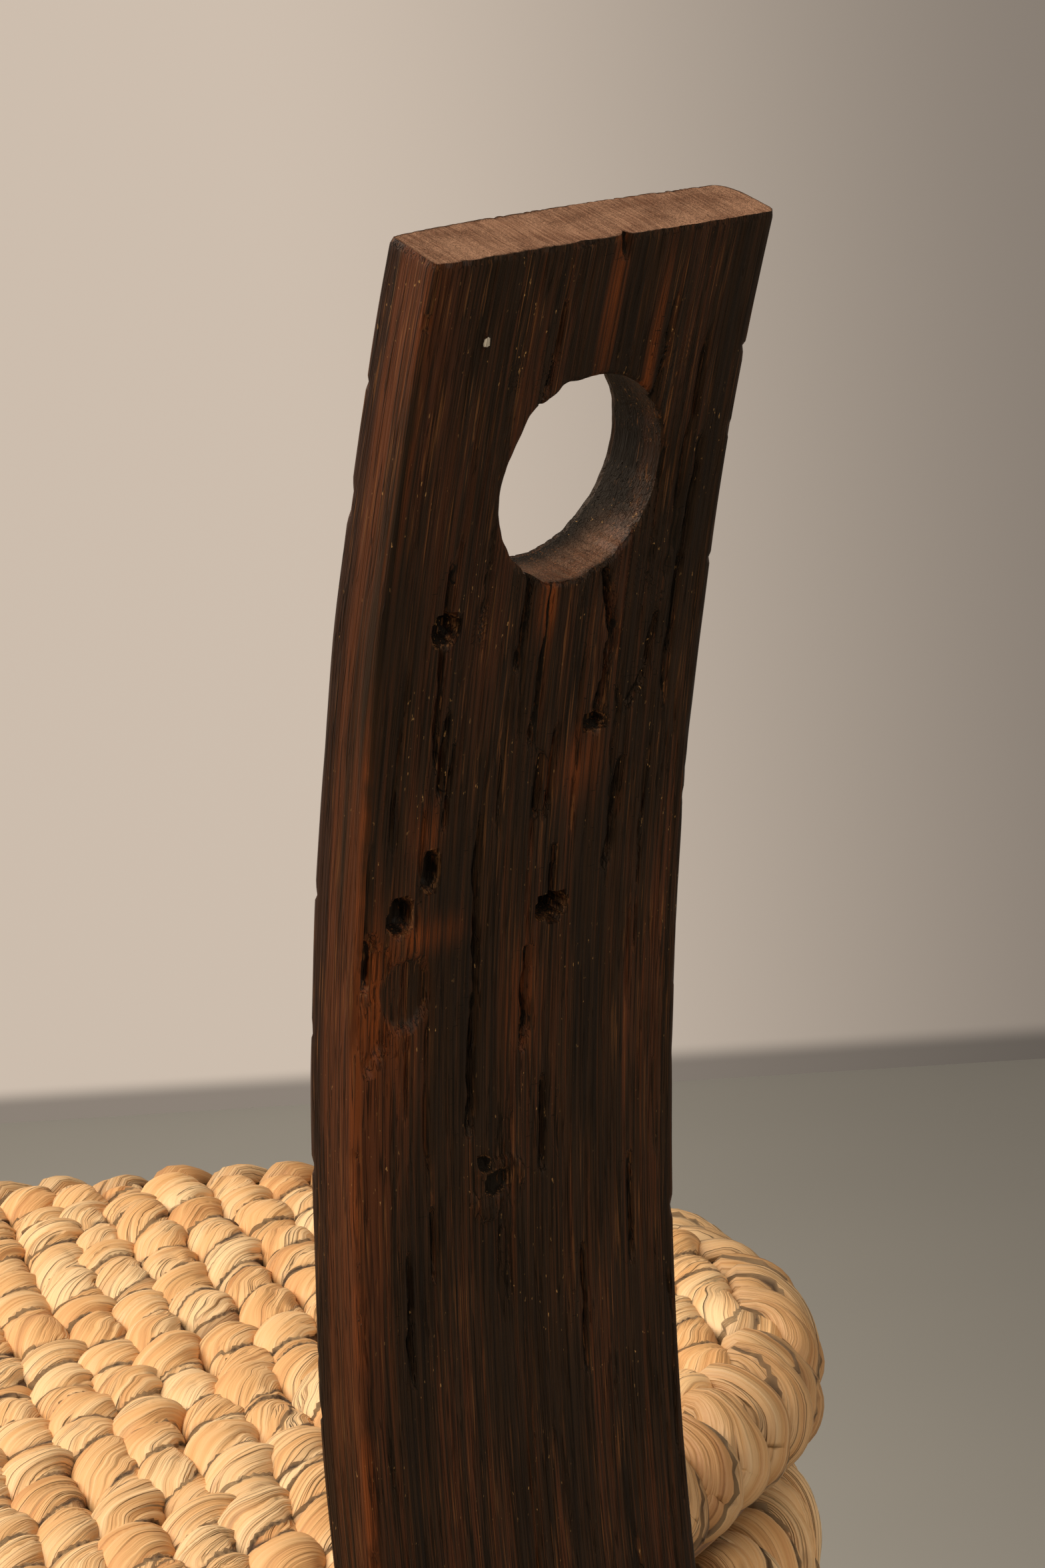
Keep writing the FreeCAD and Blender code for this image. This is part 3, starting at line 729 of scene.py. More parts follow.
    def hand_hole(self, index, keep):
        """Swaps a patch of both faces for rings from its border to a worn circle and through it."""
        look = self.look
        reach = look.hole_diameter / 2 + 0.007
        down = self.rows * self.total
        across = self.outline[: self.columns, 0]
        rows = np.searchsorted(down, [look.hole_drop - reach, look.hole_drop + reach])
        columns = np.searchsorted(across, [look.hole_offset - reach, look.hole_offset + reach])
        front = 2 * self.columns + self.layers - 2
        keep[rows[0] : rows[1], columns[0] : columns[1]] = False
        keep[rows[0] : rows[1], front - columns[1] : front - columns[0]] = False
        loop = self.ring_loop(rows, columns)
        border = together(across[loop[:, 1]], down[loop[:, 0]])
        turn = np.arctan2(border[:, 1] - look.hole_drop, border[:, 0] - look.hole_offset)
        circle = together(np.cos(turn), np.sin(turn))
        waver = 0.12 * self.noise(*(circle.T * 4 + 9), 17)
        rough = self.noise(*(circle.T * 11 + 30), 18)
        bite = np.exp(-(((turn + 2.35) / 0.16) ** 2)) + 0.7 * np.exp(-(((turn + 1.95) / 0.10) ** 2))
        lower = ease(np.sin(turn), 0.2, 0.9)
        rear_wear = waver + 1.2 * bite + (0.06 + 0.3 * lower) * rough
        rear_radius = look.hole_diameter / 2 + 1e-3 * rear_wear
        front_radius = look.hole_diameter / 2 + 1e-3 * (waver + 0.12 * rough)
        near_places, near_fields = self.hole_face(border, circle, rear_radius, True)
        far_places, far_fields = self.hole_face(border, circle, front_radius, False)
        through = np.linspace(0.0, 1.0, 13)[1:-1, None]
        wall = (1 - through[..., None]) * near_places[-1] + through[..., None] * far_places[-1]
        dent = 0.08 * self.noise(turn * 9 + 40, 0.0, 19)
        dent = dent + 0.12 * self.noise(turn * 5 + 40, through * 4, 20)
        wall[..., :2] += circle * (1e-3 * dent * np.sin(math.pi * through))[..., None]
        near_side = 1 - ease(through, 0.35, 0.9)
        lower_wall = ease(np.sin(turn), 0.45, 0.95)
        wall_fields = self.plain(wall, 0.08 * near_side, 0.3 * lower_wall * near_side)
        # Painted shade: the wall is darkened towards the front face, less on its lower side, through the
        # crack fields.
        wall_fields[..., SPLIT] = 0.0
        wall_fields[..., RUNS] = ease(through + 0.28 * (1 - lower_wall), 0.25, 0.80)
        rings = (
            index[loop[:, 0], loop[:, 1]][None],
            self.add(near_places, near_fields),
            self.add(wall, wall_fields),
            self.add(far_places, far_fields)[::-1],
            index[loop[:, 0], front - loop[:, 1]][None],
        )
        self.quads.append(grid_faces(np.concatenate(rings), closed=True))

    def build(self, name, bearing, mirrored):
        """Bends the plank onto its bow, turns it round the seat to its bearing and makes the piece."""
        index, places = self.skin()
        keep = np.ones((len(self.rows) - 1, self.around), bool)
        if self.hole:
            self.hand_hole(index, keep)
        self.quads.append(grid_faces(index, closed=True)[keep.ravel()])
        self.ends(index, places)
        plank = np.concatenate(self.places)
        fields = np.concatenate(self.fields)
        quads = np.concatenate(self.quads)
        bow_radius = self.look.bow_radius
        tilt = self.top - plank[:, 1] / bow_radius
        radius = bow_radius + plank[:, 2]
        bow_y = BACK_LOW.y + self.look.thickness + bow_radius - SEAT_Y
        side = plank[:, 0] if mirrored else -plank[:, 0]
        out = bow_y - radius * np.cos(tilt)
        height = np.maximum(WAIST + radius * np.sin(tilt), 0.0)
        x = SEAT_X + side * math.cos(bearing) - out * math.sin(bearing)
        y = SEAT_Y + side * math.sin(bearing) + out * math.cos(bearing)
        if mirrored:
            quads = quads[:, ::-1]
        attributes = {"plank": plank, **dict(zip(FIELDS, fields.T))}
        points = together(x, y, height)
        no_triangles = np.zeros((0, 3), int)
        return make_piece(name, points, quads, no_triangles, attributes, sharp_angle=math.radians(48))


def stave_wood(look):
    """Waxed old hardwood: near-black wax over red-brown grain, bare red chips and a dusty cut end."""
    wood = Finish("waxed_stave_wood")
    plank = wood.attribute("plank", "Vector")
    bare = wood.attribute("bare")
    cut = wood.attribute("cut")

    def grain(wide, long, detail=2.0, roughness=0.5):
        """Noise drawn out along the plank, by how fine it is across and along."""
        return wood.noise(plank, (wide, long, wide), detail, roughness)

    grit = grain(1100.0, 420.0) - 0.5
    zone = grain(70.0, 11.0, 3.0)
    broad = grain(320.0, 6.0, 3.0)
    streak = grain(1200.0, 10.0, 4.0, 0.6)
    fine = grain(2600.0, 24.0, 3.0, 0.6)
    blotch = grain(60.0, 40.0, 3.0, 0.55)
    line = grain(620.0, 13.0).band(0.478, 0.492, 0.492, 0.506)
    thread = grain(1050.0, 16.0).band(0.468, 0.494, 0.494, 0.520)
    pore = (1 - grain(1500.0, 30.0).step(0.30, 0.40)) * 0.7
    # Painted highlight: light streaks that stand for light caught on the grain's ridges.
    ridge_highlight = grain(2100.0, 50.0).step(0.60, 0.70)
    # Golden specks: partly the wood's own specks, partly painted glints.
    gold = grain(1700.0, 620.0).step(0.69, 0.75)
    sawing = wood.noise(plank, (1900.0, 60.0, 120.0), 3.0, 0.6)
    stain = wood.noise(plank, (90.0, 60.0, 160.0), 2.0, 0.5)
    across, down, deep = (wood.node("SeparateXYZ", {"Vector": plank}, output=axis) for axis in "XYZ")
    split = (wood.attribute("split") + 1.6 * grit).size()
    pit = wood.attribute("pit") + 0.7 * grit
    # Painted shade: near-black in the hollows of splits and pits and at the deep side of the hand hole.
    hollow = (1 - split.step(0.6, 1.05)) * wood.attribute("runs")
    hollow = hollow.most(1 - pit.step(0.78, 0.98))
    frayed = pit.band(0.92, 1.05, 1.15, 1.45)
    pale = 1 - (wood.attribute("speck") + 1.2 * grit).step(0.75, 1.0)
    crack = (line * blotch.step(0.40, 0.58)).most(0.7 * thread * zone.step(0.36, 0.52))
    # The near-black coat is painted shade in those hollows, with thin dark crack lines and pores.
    dark = (hollow * 0.96).most(crack * 0.8).most(pore) * (1 - cut)
    side = across.step(-0.0376, -0.0386)
    shadow = side * (deep + 0.006 * (broad - 0.5)).step(0.0080, 0.0100)
    # Painted highlight: a thin bare-wood line along the rear arris of the sawn side.
    arris_highlight = across.step(-0.0370, -0.0378) * (1 - deep.step(0.0012, 0.0022)) * broad.step(0.34, 0.50)
    # Painted shade: every face but the sawn side is darkened towards the top end.
    top_painted_shade = (1 - down.step(0.03, 0.17)) * (1 - side)
    dusty = (0.6 * sawing + 0.5 * stain).step(0.38, 0.68)
    tone = 0.3 * streak + 0.16 * broad + 0.32 * zone + 0.22 * fine + 0.05 * across.step(-0.030, -0.036)
    stops = ((0.42, look.dark_wax_and_painted_shade), (0.50, look.wax_brown), (0.60, look.wood_red))
    surface = wood.coats(
        wood.node("ValToRGB", {"Fac": tone}, stops=stops),
        (side * broad.step(0.40, 0.60) * 0.75, look.wood_red),
        (0.75 * shadow, look.dark_wax_and_painted_shade),
        (0.55 * arris_highlight * blotch.step(0.38, 0.58), look.bare_wood_and_painted_highlight),
        (0.4 * top_painted_shade, look.dark_wax_and_painted_shade),
        (bare * (0.15 + 0.85 * streak.step(0.38, 0.60)), look.bare_wood_and_painted_highlight),
        (0.55 * frayed * fine.step(0.42, 0.62), srgb(146, 98, 58)),
        (dark, srgb(7, 5, 3)),
        (ridge_highlight * zone.step(0.38, 0.58) * 0.55, srgb(124, 76, 38)),
        (gold * blotch.step(0.48, 0.62) * 0.8, srgb(196, 144, 84)),
        (cut, wood.mix(dusty, srgb(110, 72, 50), look.end_dust)),
        (pale, srgb(214, 198, 172)),
    )
    wax = 0.36 + 0.24 * blotch + 0.25 * dark + 0.25 * cut - 0.08 * bare
    wood.set(Base_Color=surface, Roughness=wax, Coat_Weight=0.05 * zone.step(0.45, 0.62) * (1 - cut))
    wood.set(Coat_Roughness=0.22, Specular_IOR_Level=0.2, Specular_Tint=(1.0, 0.72, 0.48))
    height = 0.5 * fine + 0.45 * streak - 0.9 * crack - 0.5 * pore
    wood.bump(height + 0.5 * cut * sawing + 0.4 * bare * fine, strength=0.75, distance=0.0007)
    return wood


def leaf_finish(name, look, shade):
    """Dry twisted leaf: long fibres along each ply, pleats and browner patches, with painted shade in
    folds and creases and, by a given share, over all of it.
    """
    leaf = Finish(name)
    strand = leaf.attribute("strand", "Vector")
    crease = leaf.attribute("crease")

    def strands(wide, long, detail=2.0, roughness=0.5, distortion=0.0):
        """Noise drawn out along a petal, by how fine it is across and along."""
        return leaf.noise(strand, (wide, wide, long), detail, roughness, distortion)

    fibre = strands(1500.0, 22.0, 4.0, 0.6)
    pleat = strands(520.0, 14.0, 3.0, 0.55, 0.3)
    patch = strands(110.0, 34.0)
    slit = strands(420.0, 11.0).band(0.470, 0.488, 0.497, 0.515) * patch.step(0.42, 0.58)
    speck = strands(800.0, 130.0).step(0.71, 0.79)
    # Painted shade: pleat folds and slits are darkened with the crease colour.
    fold = ((1 - pleat.step(0.27, 0.40)) * 0.28).most(slit * 0.24)
    tone = 0.3 * fibre + 0.32 * pleat + 0.34 * patch + 0.13 * leaf.attribute("tint")
    stops = ((0.36, look.leaf_brown), (0.50, look.leaf_gold), (0.66, look.leaf_pale))
    # Painted shade: the crease colour over folds and creases, then by the share shade over the whole
    # finish.
    surface = leaf.coats(
        leaf.node("ValToRGB", {"Fac": tone}, stops=stops),
        (fold.most(crease * 0.95), look.leaf_crease),
        (speck * 0.55, srgb(116, 66, 28)),
        (shade, look.leaf_crease),
    )
    leaf.set(Base_Color=surface, Roughness=0.48 + 0.2 * fibre + 0.1 * crease, Specular_IOR_Level=0.4)
    leaf.bump(0.35 * fibre + 1.0 * pleat - 0.7 * slit, strength=0.85, distance=0.002)
    return leaf


def leaf_petals(run, lateral, row, length, wide, slant, seed):
    """A row of overlapping leaf petals along a cord, at places (run, lateral) in metres.

    A petal is a slanting leaf shape that narrows towards its tip. It is highest on a keel along
    its middle and falls off steeply at its wavy edge. A lower layer, half a petal on, shows in
    the gaps of the upper one. The highest petal wins. Returns its height from 0 to 1, how far it
    tops the next one, the point's own places across and along it, and its chance value.
    """
    table = np.random.default_rng(seed).uniform(-1.0, 1.0, (LATTICE, 6))
    best = np.zeros(np.broadcast_shapes(run.shape, lateral.shape))
    second = across = tip = chance = best
    wave = 0.0011 * lattice_noise(run / 0.0065 + 40, lateral / 0.0065 + 40, seed + 7)
    ruffle = 0.0011 * lattice_noise(run / 0.0065 + 70, lateral / 0.0065 + 70, seed + 8)
    for layer, step in ((0, -1), (0, 0), (0, 1), (0, 2), (1, -1), (1, 0), (1, 1)):
        number = np.floor(run / length + 0.5 * layer) + step
        draw = table[(number.astype(int) + row + 31 * layer) % LATTICE]
        ahead = run + ruffle - (number + 0.5 - 0.5 * layer + 0.23 * draw[..., 0]) * length
        beside = lateral + wave - 0.22 * wide * draw[..., 1]
        lean = slant + (0.28 + 0.15 * layer) * draw[..., 2]
        p = beside * np.sin(lean) - ahead * np.cos(lean)
        q = beside * np.cos(lean) + ahead * np.sin(lean)
        p = p / (1.25 * length * math.cos(slant) * (1 + 0.26 * draw[..., 3]))
        q = q / (wide * (1 + 0.22 * draw[..., 4]) * np.clip(1 - 0.55 * p, 0.30, 1.4))
        flat = np.clip(1 - np.abs(p) ** 1.5 - np.abs(q) ** 2.2, 0.0, 1.0) ** 0.55
        keel = 1 - 0.34 * np.abs(q - 0.4 * draw[..., 1])
        height = flat * keel * (1 - 0.30 * p) * (1 + 0.20 * draw[..., 5])
        height = height * (1 - layer * (0.62 + 0.18 * draw[..., 4]))
        better = height > best
        second = np.where(better, best, np.maximum(second, height))
        best = np.where(better, height, best)
        across = np.where(better, q, across)
        tip = np.where(better, p, tip)
        chance = np.where(better, draw[..., 3], chance)
    return best, best - second, across, tip, chance


def petal_cords(centre, up, half_width, half_height, run, length, slant, columns, seed):
    """Batches of leaf cord: shape (cords, rings) paths in, points, faces and attributes out.

    The section is an oval whose radius swells with the height of the petals over it. Folds run
    along each petal and gather at its tip. Columns are close on the outer side, wide below.
    """
    cords, rings = run.shape
    along = np.gradient(centre, axis=1)
    along /= np.linalg.norm(along, axis=-1, keepdims=True)
    side = np.cross(up, along)
    side /= np.linalg.norm(side, axis=-1, keepdims=True)
    up = np.cross(along, side)
    outer = np.linspace(math.radians(-14), math.radians(194), columns[0])
    inner = np.linspace(math.radians(194), math.radians(346), columns[1] + 2)[1:-1]
    turn = np.concatenate([outer, inner])[None, None, :]
    around = turn.shape[-1]
    below = np.sin(turn) < 0
    lateral = half_width[..., None] * np.cos(turn)
    metres = run[..., None] + np.where(below, 0.5 * length, 0.0)
    row = np.arange(cords)[:, None, None] * 17 + np.where(below, 41, 0)
    wide = max(0.9 * half_width.mean(), 0.60 * length * math.sin(slant))
    height, lead, across, tip, chance = leaf_petals(metres, lateral, row, length, wide, slant, seed)
    pleat = lattice_noise(across * 2.3 + 9 * chance + 30, 0.7 * tip + 6 * chance + 30, seed + 2)
    fold = (1 - np.abs(pleat)) ** 4 * ease(height, 0.1, 0.5)
    ripple = lattice_noise(across * 1.2 + 60 + 7 * chance, 1.2 * tip + 60 + 11 * chance, seed + 3)
    radius = 0.63 + 0.46 * height - 0.12 * fold + 0.10 * ripple * height
    wide = (half_width[..., None] * radius * np.cos(turn))[..., None]
    tall = (half_height[..., None] * radius * np.sin(turn))[..., None]
    skin = centre[:, :, None] + wide * side[:, :, None] + tall * up[:, :, None]
    own = 0.31 * chance + 0.043 * row
    strand = together(0.0078 * across + own, own, 0.6 * length * tip - own)
    # Painted shade: crease darkens the leaf where a petal's edge tops the next, in the low gaps between
    # petals and in deep folds near the tips.
    broken = lattice_noise(metres / 0.006 + 20, lateral / 0.006 + 20, seed + 6)
    seam = np.exp(-((lead / 0.07) ** 2)) * (0.35 + 0.65 * ease(broken, -0.5, 0.3))
    crease = np.maximum(seam, 1 - ease(height, 0.0, 0.28))
    crease = np.maximum(crease, 0.55 * ease(fold, 0.80, 1.0) * ease(tip, -0.5, 0.7))
    tint = 0.5 + 0.5 * lattice_noise(chance * 8 + 20, 0.37 * row, seed + 4)
    points = np.concatenate([skin.reshape(cords, -1, 3), centre[:, :1], centre[:, -1:]], axis=1)
    ends = strand[:, [0, -1], 0]
    strand = np.concatenate([strand.reshape(cords, -1, 3), ends], axis=1)
    crease = np.concatenate([crease.reshape(cords, -1), np.ones((cords, 2))], axis=1)
    tint = np.concatenate([tint.reshape(cords, -1), np.full((cords, 2), 0.3)], axis=1)
    quads, triangles = tube_faces(rings, around)
    shift = np.arange(cords)[:, None, None] * points.shape[1]
    quads = (quads + shift).reshape(-1, 4)
    triangles = (triangles + shift).reshape(-1, 3)
    attributes = {"strand": strand.reshape(-1, 3), "crease": crease.ravel(), "tint": tint.ravel()}
    return points.reshape(-1, 3), quads, triangles, attributes


def straight_cords(look, offsets, level, radius, spread, step, columns, seed):
    """Cords side by side across the round seat: straight runs whose ends dip into the rim."""
    rng = np.random.default_rng(seed)
    offsets = np.asarray(offsets)[:, None]
    half = np.sqrt(np.maximum(CORD_REACH**2 - offsets**2, 0.03**2))
    rings = int(2 * half.max() / step) + 1
    place = np.linspace(-1.0, 1.0, rings)[None, :]
    run = half * place
    heading = np.array([math.cos(look.run_angle), math.sin(look.run_angle)])
    sideways = np.array([-heading[1], heading[0]])
    number = np.arange(len(offsets))[:, None] * 3.7
    wander = 0.0019 * lattice_noise(run / 0.021 + number, number, seed + 5)
    rise = 0.0009 * lattice_noise(run / 0.04 + number, number + 50, seed + 6)
    tail = ease(np.abs(run), half - 0.013, half)
    flat = run[..., None] * heading + (offsets + wander)[..., None] * sideways
    shoulder = ease(np.abs(run), half - 0.06, half - 0.01)
    outward = np.sign(level - WAIST)
    height = level + outward * (rise - 0.0055 * tail - 0.0022 * shoulder)
    centre = together(SEAT_X + flat[..., 0], SEAT_Y + flat[..., 1], height)
    up = np.zeros_like(centre)
    up[..., 2] = outward
    petal = look.petal_length
    start = petal * (0.26 * offsets / radius + rng.uniform(-0.14, 0.14, (len(offsets), 1)))
    size = radius * (1 - 0.4 * tail)
    return petal_cords(
        centre, up, spread * size, 1.04 * size, run + start, petal, look.petal_slant, columns, seed + 8
    )


def stave_nearness(bearing):
    """1 at the bearing of each of the three staves, and -1 midway between two."""
    return np.cos(3 * (bearing - math.pi / 2))


def signed_power(value, power):
    """A value's size raised to a power, with its sign kept."""
    return np.sign(value) * np.abs(value) ** power


def waist_lift(bearing):
    """How far the gap between the rims rises at a bearing: most at a stave, nothing between two."""
    return 0.0055 * ease(stave_nearness(bearing), -0.7, 0.9)


def rim_turns(look, upper, seed):
    """Turns of leaf cord round a hoop, side by side right round the seat.

    A turn starts on the seat inside the lip, goes out over the edge, down, under and up the
    inside, on an ellipse about the hoop's middle. The lower hoop's turns are the mirror image.
    Both swell a little where a stave presses on them, and the gap between them rises there.
    Painted shade darkens the gap.
    """
    half = look.rim_thickness / 2
    leaf = 0.0062
    hoop_radius = SEAT_RADIUS - half
    count = int(2 * math.pi * (SEAT_RADIUS - leaf) / look.rim_pitch)
    rings = 50
    turn = np.linspace(math.radians(98), math.radians(-188), rings)[None, :]
    rng = np.random.default_rng(seed)
    bearing = 2 * math.pi * (np.arange(count)[:, None] + rng.uniform(-0.12, 0.12, (count, 1))) / count
    number = np.arange(count)[:, None] * 5.3
    loose = 0.0007 * lattice_noise(turn * 2 + number, number, seed + 1)
    arm = half - leaf + loose
    pressed = ease(stave_nearness(bearing), 0.3, 0.8)
    inset = (0.0 if upper else look.base_inset) * (1 - pressed) - 0.001 * pressed
    flat = np.cos(turn)
    tall = np.sin(turn)
    squareness = 0.86
    bulge = np.where(flat > 0, arm - inset, arm)
    out = hoop_radius + bulge * signed_power(flat, squareness)
    rise = arm * signed_power(tall, squareness)
    tuck = ease(turn, math.radians(74), math.radians(98))
    lift = waist_lift(bearing) / arm
    gap_side = 0.58 - lift if upper else 0.98 + 1.3 * lift
    rise = rise * np.where(rise > 0, 0.82, gap_side) - 0.005 * tuck
    mirror = 1.0 if upper else -1.0
    middle = RIM_LOW.z + half if upper else LOWER_HIGH.z - half
    lean = 0.010 * (turn / math.pi) / hoop_radius
    heading = bearing + lean * mirror
    east = np.cos(heading)
    north = np.sin(heading)
    centre = together(SEAT_X + out * east, SEAT_Y + out * north, middle + mirror * rise)
    outward = together(flat * east, flat * north, mirror * tall)
    step = np.linalg.norm(np.diff(centre, axis=1), axis=-1)
    run = np.concatenate([np.zeros((count, 1)), np.cumsum(step, axis=1)], axis=1)
    petal = 1.15 * look.petal_length
    start = petal * (0.5 * (np.arange(count)[:, None] % 2) + rng.uniform(-0.2, 0.2, (count, 1)))
    taper = 1 - 0.5 * tuck
    room = math.pi * out / count
    slant = 0.6 * look.petal_slant
    overlap = 1.16
    wide = overlap * room * taper
    made = petal_cords(centre, outward, wide, leaf * taper, run + start, petal, slant, (17, 5), seed + 2)
    x, y, z = made[0].T
    attributes = made[3]
    # Painted shade: a dark band along the gap between the two rims.
    level = WAIST + 0.003 + waist_lift(np.arctan2(y - SEAT_Y, x - SEAT_X))
    waist = 1 - ease(np.abs(z - level), 0.002, 0.0048)
    attributes["crease"] = np.maximum(attributes["crease"], 0.95 * waist)
    return made


def stuffing_mound(low, high, seed):
    """A full flat cake of packed leaf: a rounded disc whose skin is lumpy with seeded noise."""
    radius = (high.x - low.x) / 2
    half = (high.z - low.z) / 2
    around = 160
    rings = 60
    turn = np.linspace(0.0, 2 * math.pi, around, endpoint=False)[None, :]
    tilt = np.linspace(math.radians(-88), math.radians(88), rings)[:, None]
    squareness = 0.35
    flat = signed_power(np.cos(tilt), squareness)
    rise = signed_power(np.sin(tilt), squareness)
    x = np.cos(turn) * flat
    y = np.sin(turn) * flat
    lump = lattice_noise(x * 9 + 30, y * 9 + 30 + tilt, seed)
    shred = lattice_noise(x * 40 + 50, y * 40 + 50 + 5 * tilt, seed + 1)
    out = radius * flat * (1 + 0.012 * lump)
    middle = np.array([(low.x + high.x) / 2, (low.y + high.y) / 2, (low.z + high.z) / 2])
    height = half * rise * (0.93 + 0.05 * lump + 0.03 * shred)
    skin = together(out * np.cos(turn), out * np.sin(turn), height) + middle
    poles = middle + np.array([[0, 0, height[0].mean()], [0, 0, height[-1].mean()]])
    points = np.concatenate([skin.reshape(-1, 3), poles])
    # Painted shade: the mound is darker in its dips.
    crease = np.concatenate([ease(-(lump + shred), 0.2, 1.2).ravel(), [0.0, 0.0]])
    tint = np.concatenate([(0.5 + 0.5 * lump).ravel(), [0.5, 0.5]])
    attributes = {"strand": points[:, [2, 0, 1]], "crease": crease, "tint": tint}
    return points, *tube_faces(rings, around), attributes


class STOOL_OT_staves(bpy.types.Operator):
    """Carve the three bowed staves with their grain, cracks and hand hole"""

    bl_idname = "stool.staves"
    bl_label = "Staves"

    def execute(self, context):
        look = context.scene.stool_stave
        wood = stave_wood(look)
        for number, node in enumerate(STAVE_NODES):
            low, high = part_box(node)
            back = node == "back_stave"
            bearing = 0.0
            if not back:
                bearing = math.atan2((low.y + high.y) / 2 - SEAT_Y, (low.x + high.x) / 2 - SEAT_X)
                bearing = math.radians(120 * round(math.degrees(bearing - math.pi / 2) / 120))
            columns, rows = BACK_GRID if back else FRONT_GRID
            seed = STAVE_SEED + 500 * number
            stave = StaveMesh(look, node, columns, STAVE_LAYERS, rows, seed, hole=back)
            piece = stave.build(node + "_waxed", bearing, node == "front_right_stave")
            dress(piece, wood, "stave_wood", node)
        return {"FINISHED"}


class STOOL_OT_seat_cords(bpy.types.Operator):
    """Lay the twisted seat cords side by side"""

    bl_idname = "stool.seat_cords"
    bl_label = "Seat cords"

    def execute(self, context):
        look = context.scene.stool_cord
        leaf = leaf_finish("twisted_leaf", look, shade=0.0)
        for number, node in enumerate(CORD_NODES):
            low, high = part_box(node)
            shift_x = (low.x + high.x) / 2 - SEAT_X
            shift_y = (low.y + high.y) / 2 - SEAT_Y
            offset = shift_y * math.cos(look.run_angle) - shift_x * math.sin(look.run_angle)
            radius = (high.z - low.z) / 2
            level = (low.z + high.z) / 2
            seed = CORD_SEED + 37 * number
            made = straight_cords(
                look, [offset], level, radius, spread=1.48, step=0.0014, columns=(38, 6), seed=seed
            )
            dress(make_piece(node + "_twisted", *made), leaf, "leaf_cord", node)
        return {"FINISHED"}


class STOOL_OT_rims(bpy.types.Operator):
    """Wrap the two hoops with turns of leaf cord"""

    bl_idname = "stool.rims"
    bl_label = "Wrapped rims"

    def execute(self, context):
        look = context.scene.stool_cord
        # The upper rim's finish gets painted shade over all of it (share 0.26); the lower rim's gets
        # none.
        rims = (
            ("seat_rim_turns", "seat_hoop_wrap", "wrapped_leaf", 0.26, True, UPPER_RIM_SEED),
            ("base_rim_turns", "base_hoop_wrap", "lower_wrapped_leaf", 0.0, False, LOWER_RIM_SEED),
        )
        for name, node, finish, shade, upper, seed in rims:
            leaf = leaf_finish(finish, look, shade)
            dress(make_piece(name, *rim_turns(look, upper, seed)), leaf, "leaf_wrap", node)
        return {"FINISHED"}


class STOOL_OT_underside(bpy.types.Operator):
    """Fill the seat with packed leaf and lace its underside with open cords"""

    bl_idname = "stool.underside"
    bl_label = "Underside"

    def execute(self, context):
        look = context.scene.stool_cord
        low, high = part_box(CORD_NODES[0])
        radius = (high.z - low.z) / 2
        pitch = 4 * (radius + HALF_CLEARANCE)
        offsets = (np.arange(UNDER_COUNT) - UNDER_COUNT // 2) * pitch
        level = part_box("under_cords")[0].z + radius
        made = straight_cords(
            look, offsets, level, radius, spread=1.2, step=0.0024, columns=(18, 8), seed=UNDER_SEED
        )
        # Painted shade: the cords under the seat are darkened a little.
        leaf = leaf_finish("under_leaf", look, shade=0.10)
        dress(make_piece("under_cords_twisted", *made), leaf, "leaf_cord", "under_cords")
        low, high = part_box("leaf_stuffing")
        # Painted shade: the packed leaf is darkened strongly, so the gaps between the seat cords look
        # dark.
        packed = leaf_finish("packed_leaf", look, shade=0.62)
        mound = make_piece("packed_leaf_mound", *stuffing_mound(low, high, MOUND_SEED))
        dress(mound, packed, "leaf_stuffing", "leaf_stuffing")
        return {"FINISHED"}


class STOOL_OT_hidden_wood(bpy.types.Operator):
    """Finish the bent hoops and the bolts, which keep their CAD shapes"""

    bl_idname = "stool.hidden_wood"
    bl_label = "Hoops and bolts"

    def execute(self, context):
        hoop = Finish("bent_hoop_wood")
        place = hoop.node("TexCoord", output="Object")
        ring = hoop.noise(place, (60.0, 60.0, 420.0), 4.0, 0.6)
        stops = ((0.3, srgb(96, 62, 34)), (0.7, srgb(168, 120, 74)))
        tone = hoop.node("ValToRGB", {"Fac": ring}, stops=stops)
        hoop.set(Base_Color=tone, Roughness=0.5 + 0.2 * ring)
        hoop.bump(ring, strength=0.4, distance=0.0008)
        steel = Finish("browned_bolt_steel")
        place = steel.node("TexCoord", output="Object")
        bloom = steel.noise(place, (240.0, 240.0, 240.0), 4.0, 0.6)
        grit = steel.noise(place, (1600.0, 1600.0, 1600.0), 2.0, 0.5)
        tone = steel.mix(bloom.step(0.45, 0.68), srgb(74, 66, 60), srgb(96, 58, 36))
        steel.set(Base_Color=tone, Metallic=1 - 0.7 * bloom.step(0.5, 0.7), Roughness=0.38 + 0.3 * bloom)
        steel.bump(0.6 * grit + 0.6 * bloom, strength=0.35, distance=0.0004)
        for names, finish in ((HOOP_NODES, hoop), (FASTENER_NODES, steel)):
            for name in names:
                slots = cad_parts[name].data.materials
                slots.clear()
                slots.append(finish.material)
        return {"FINISHED"}


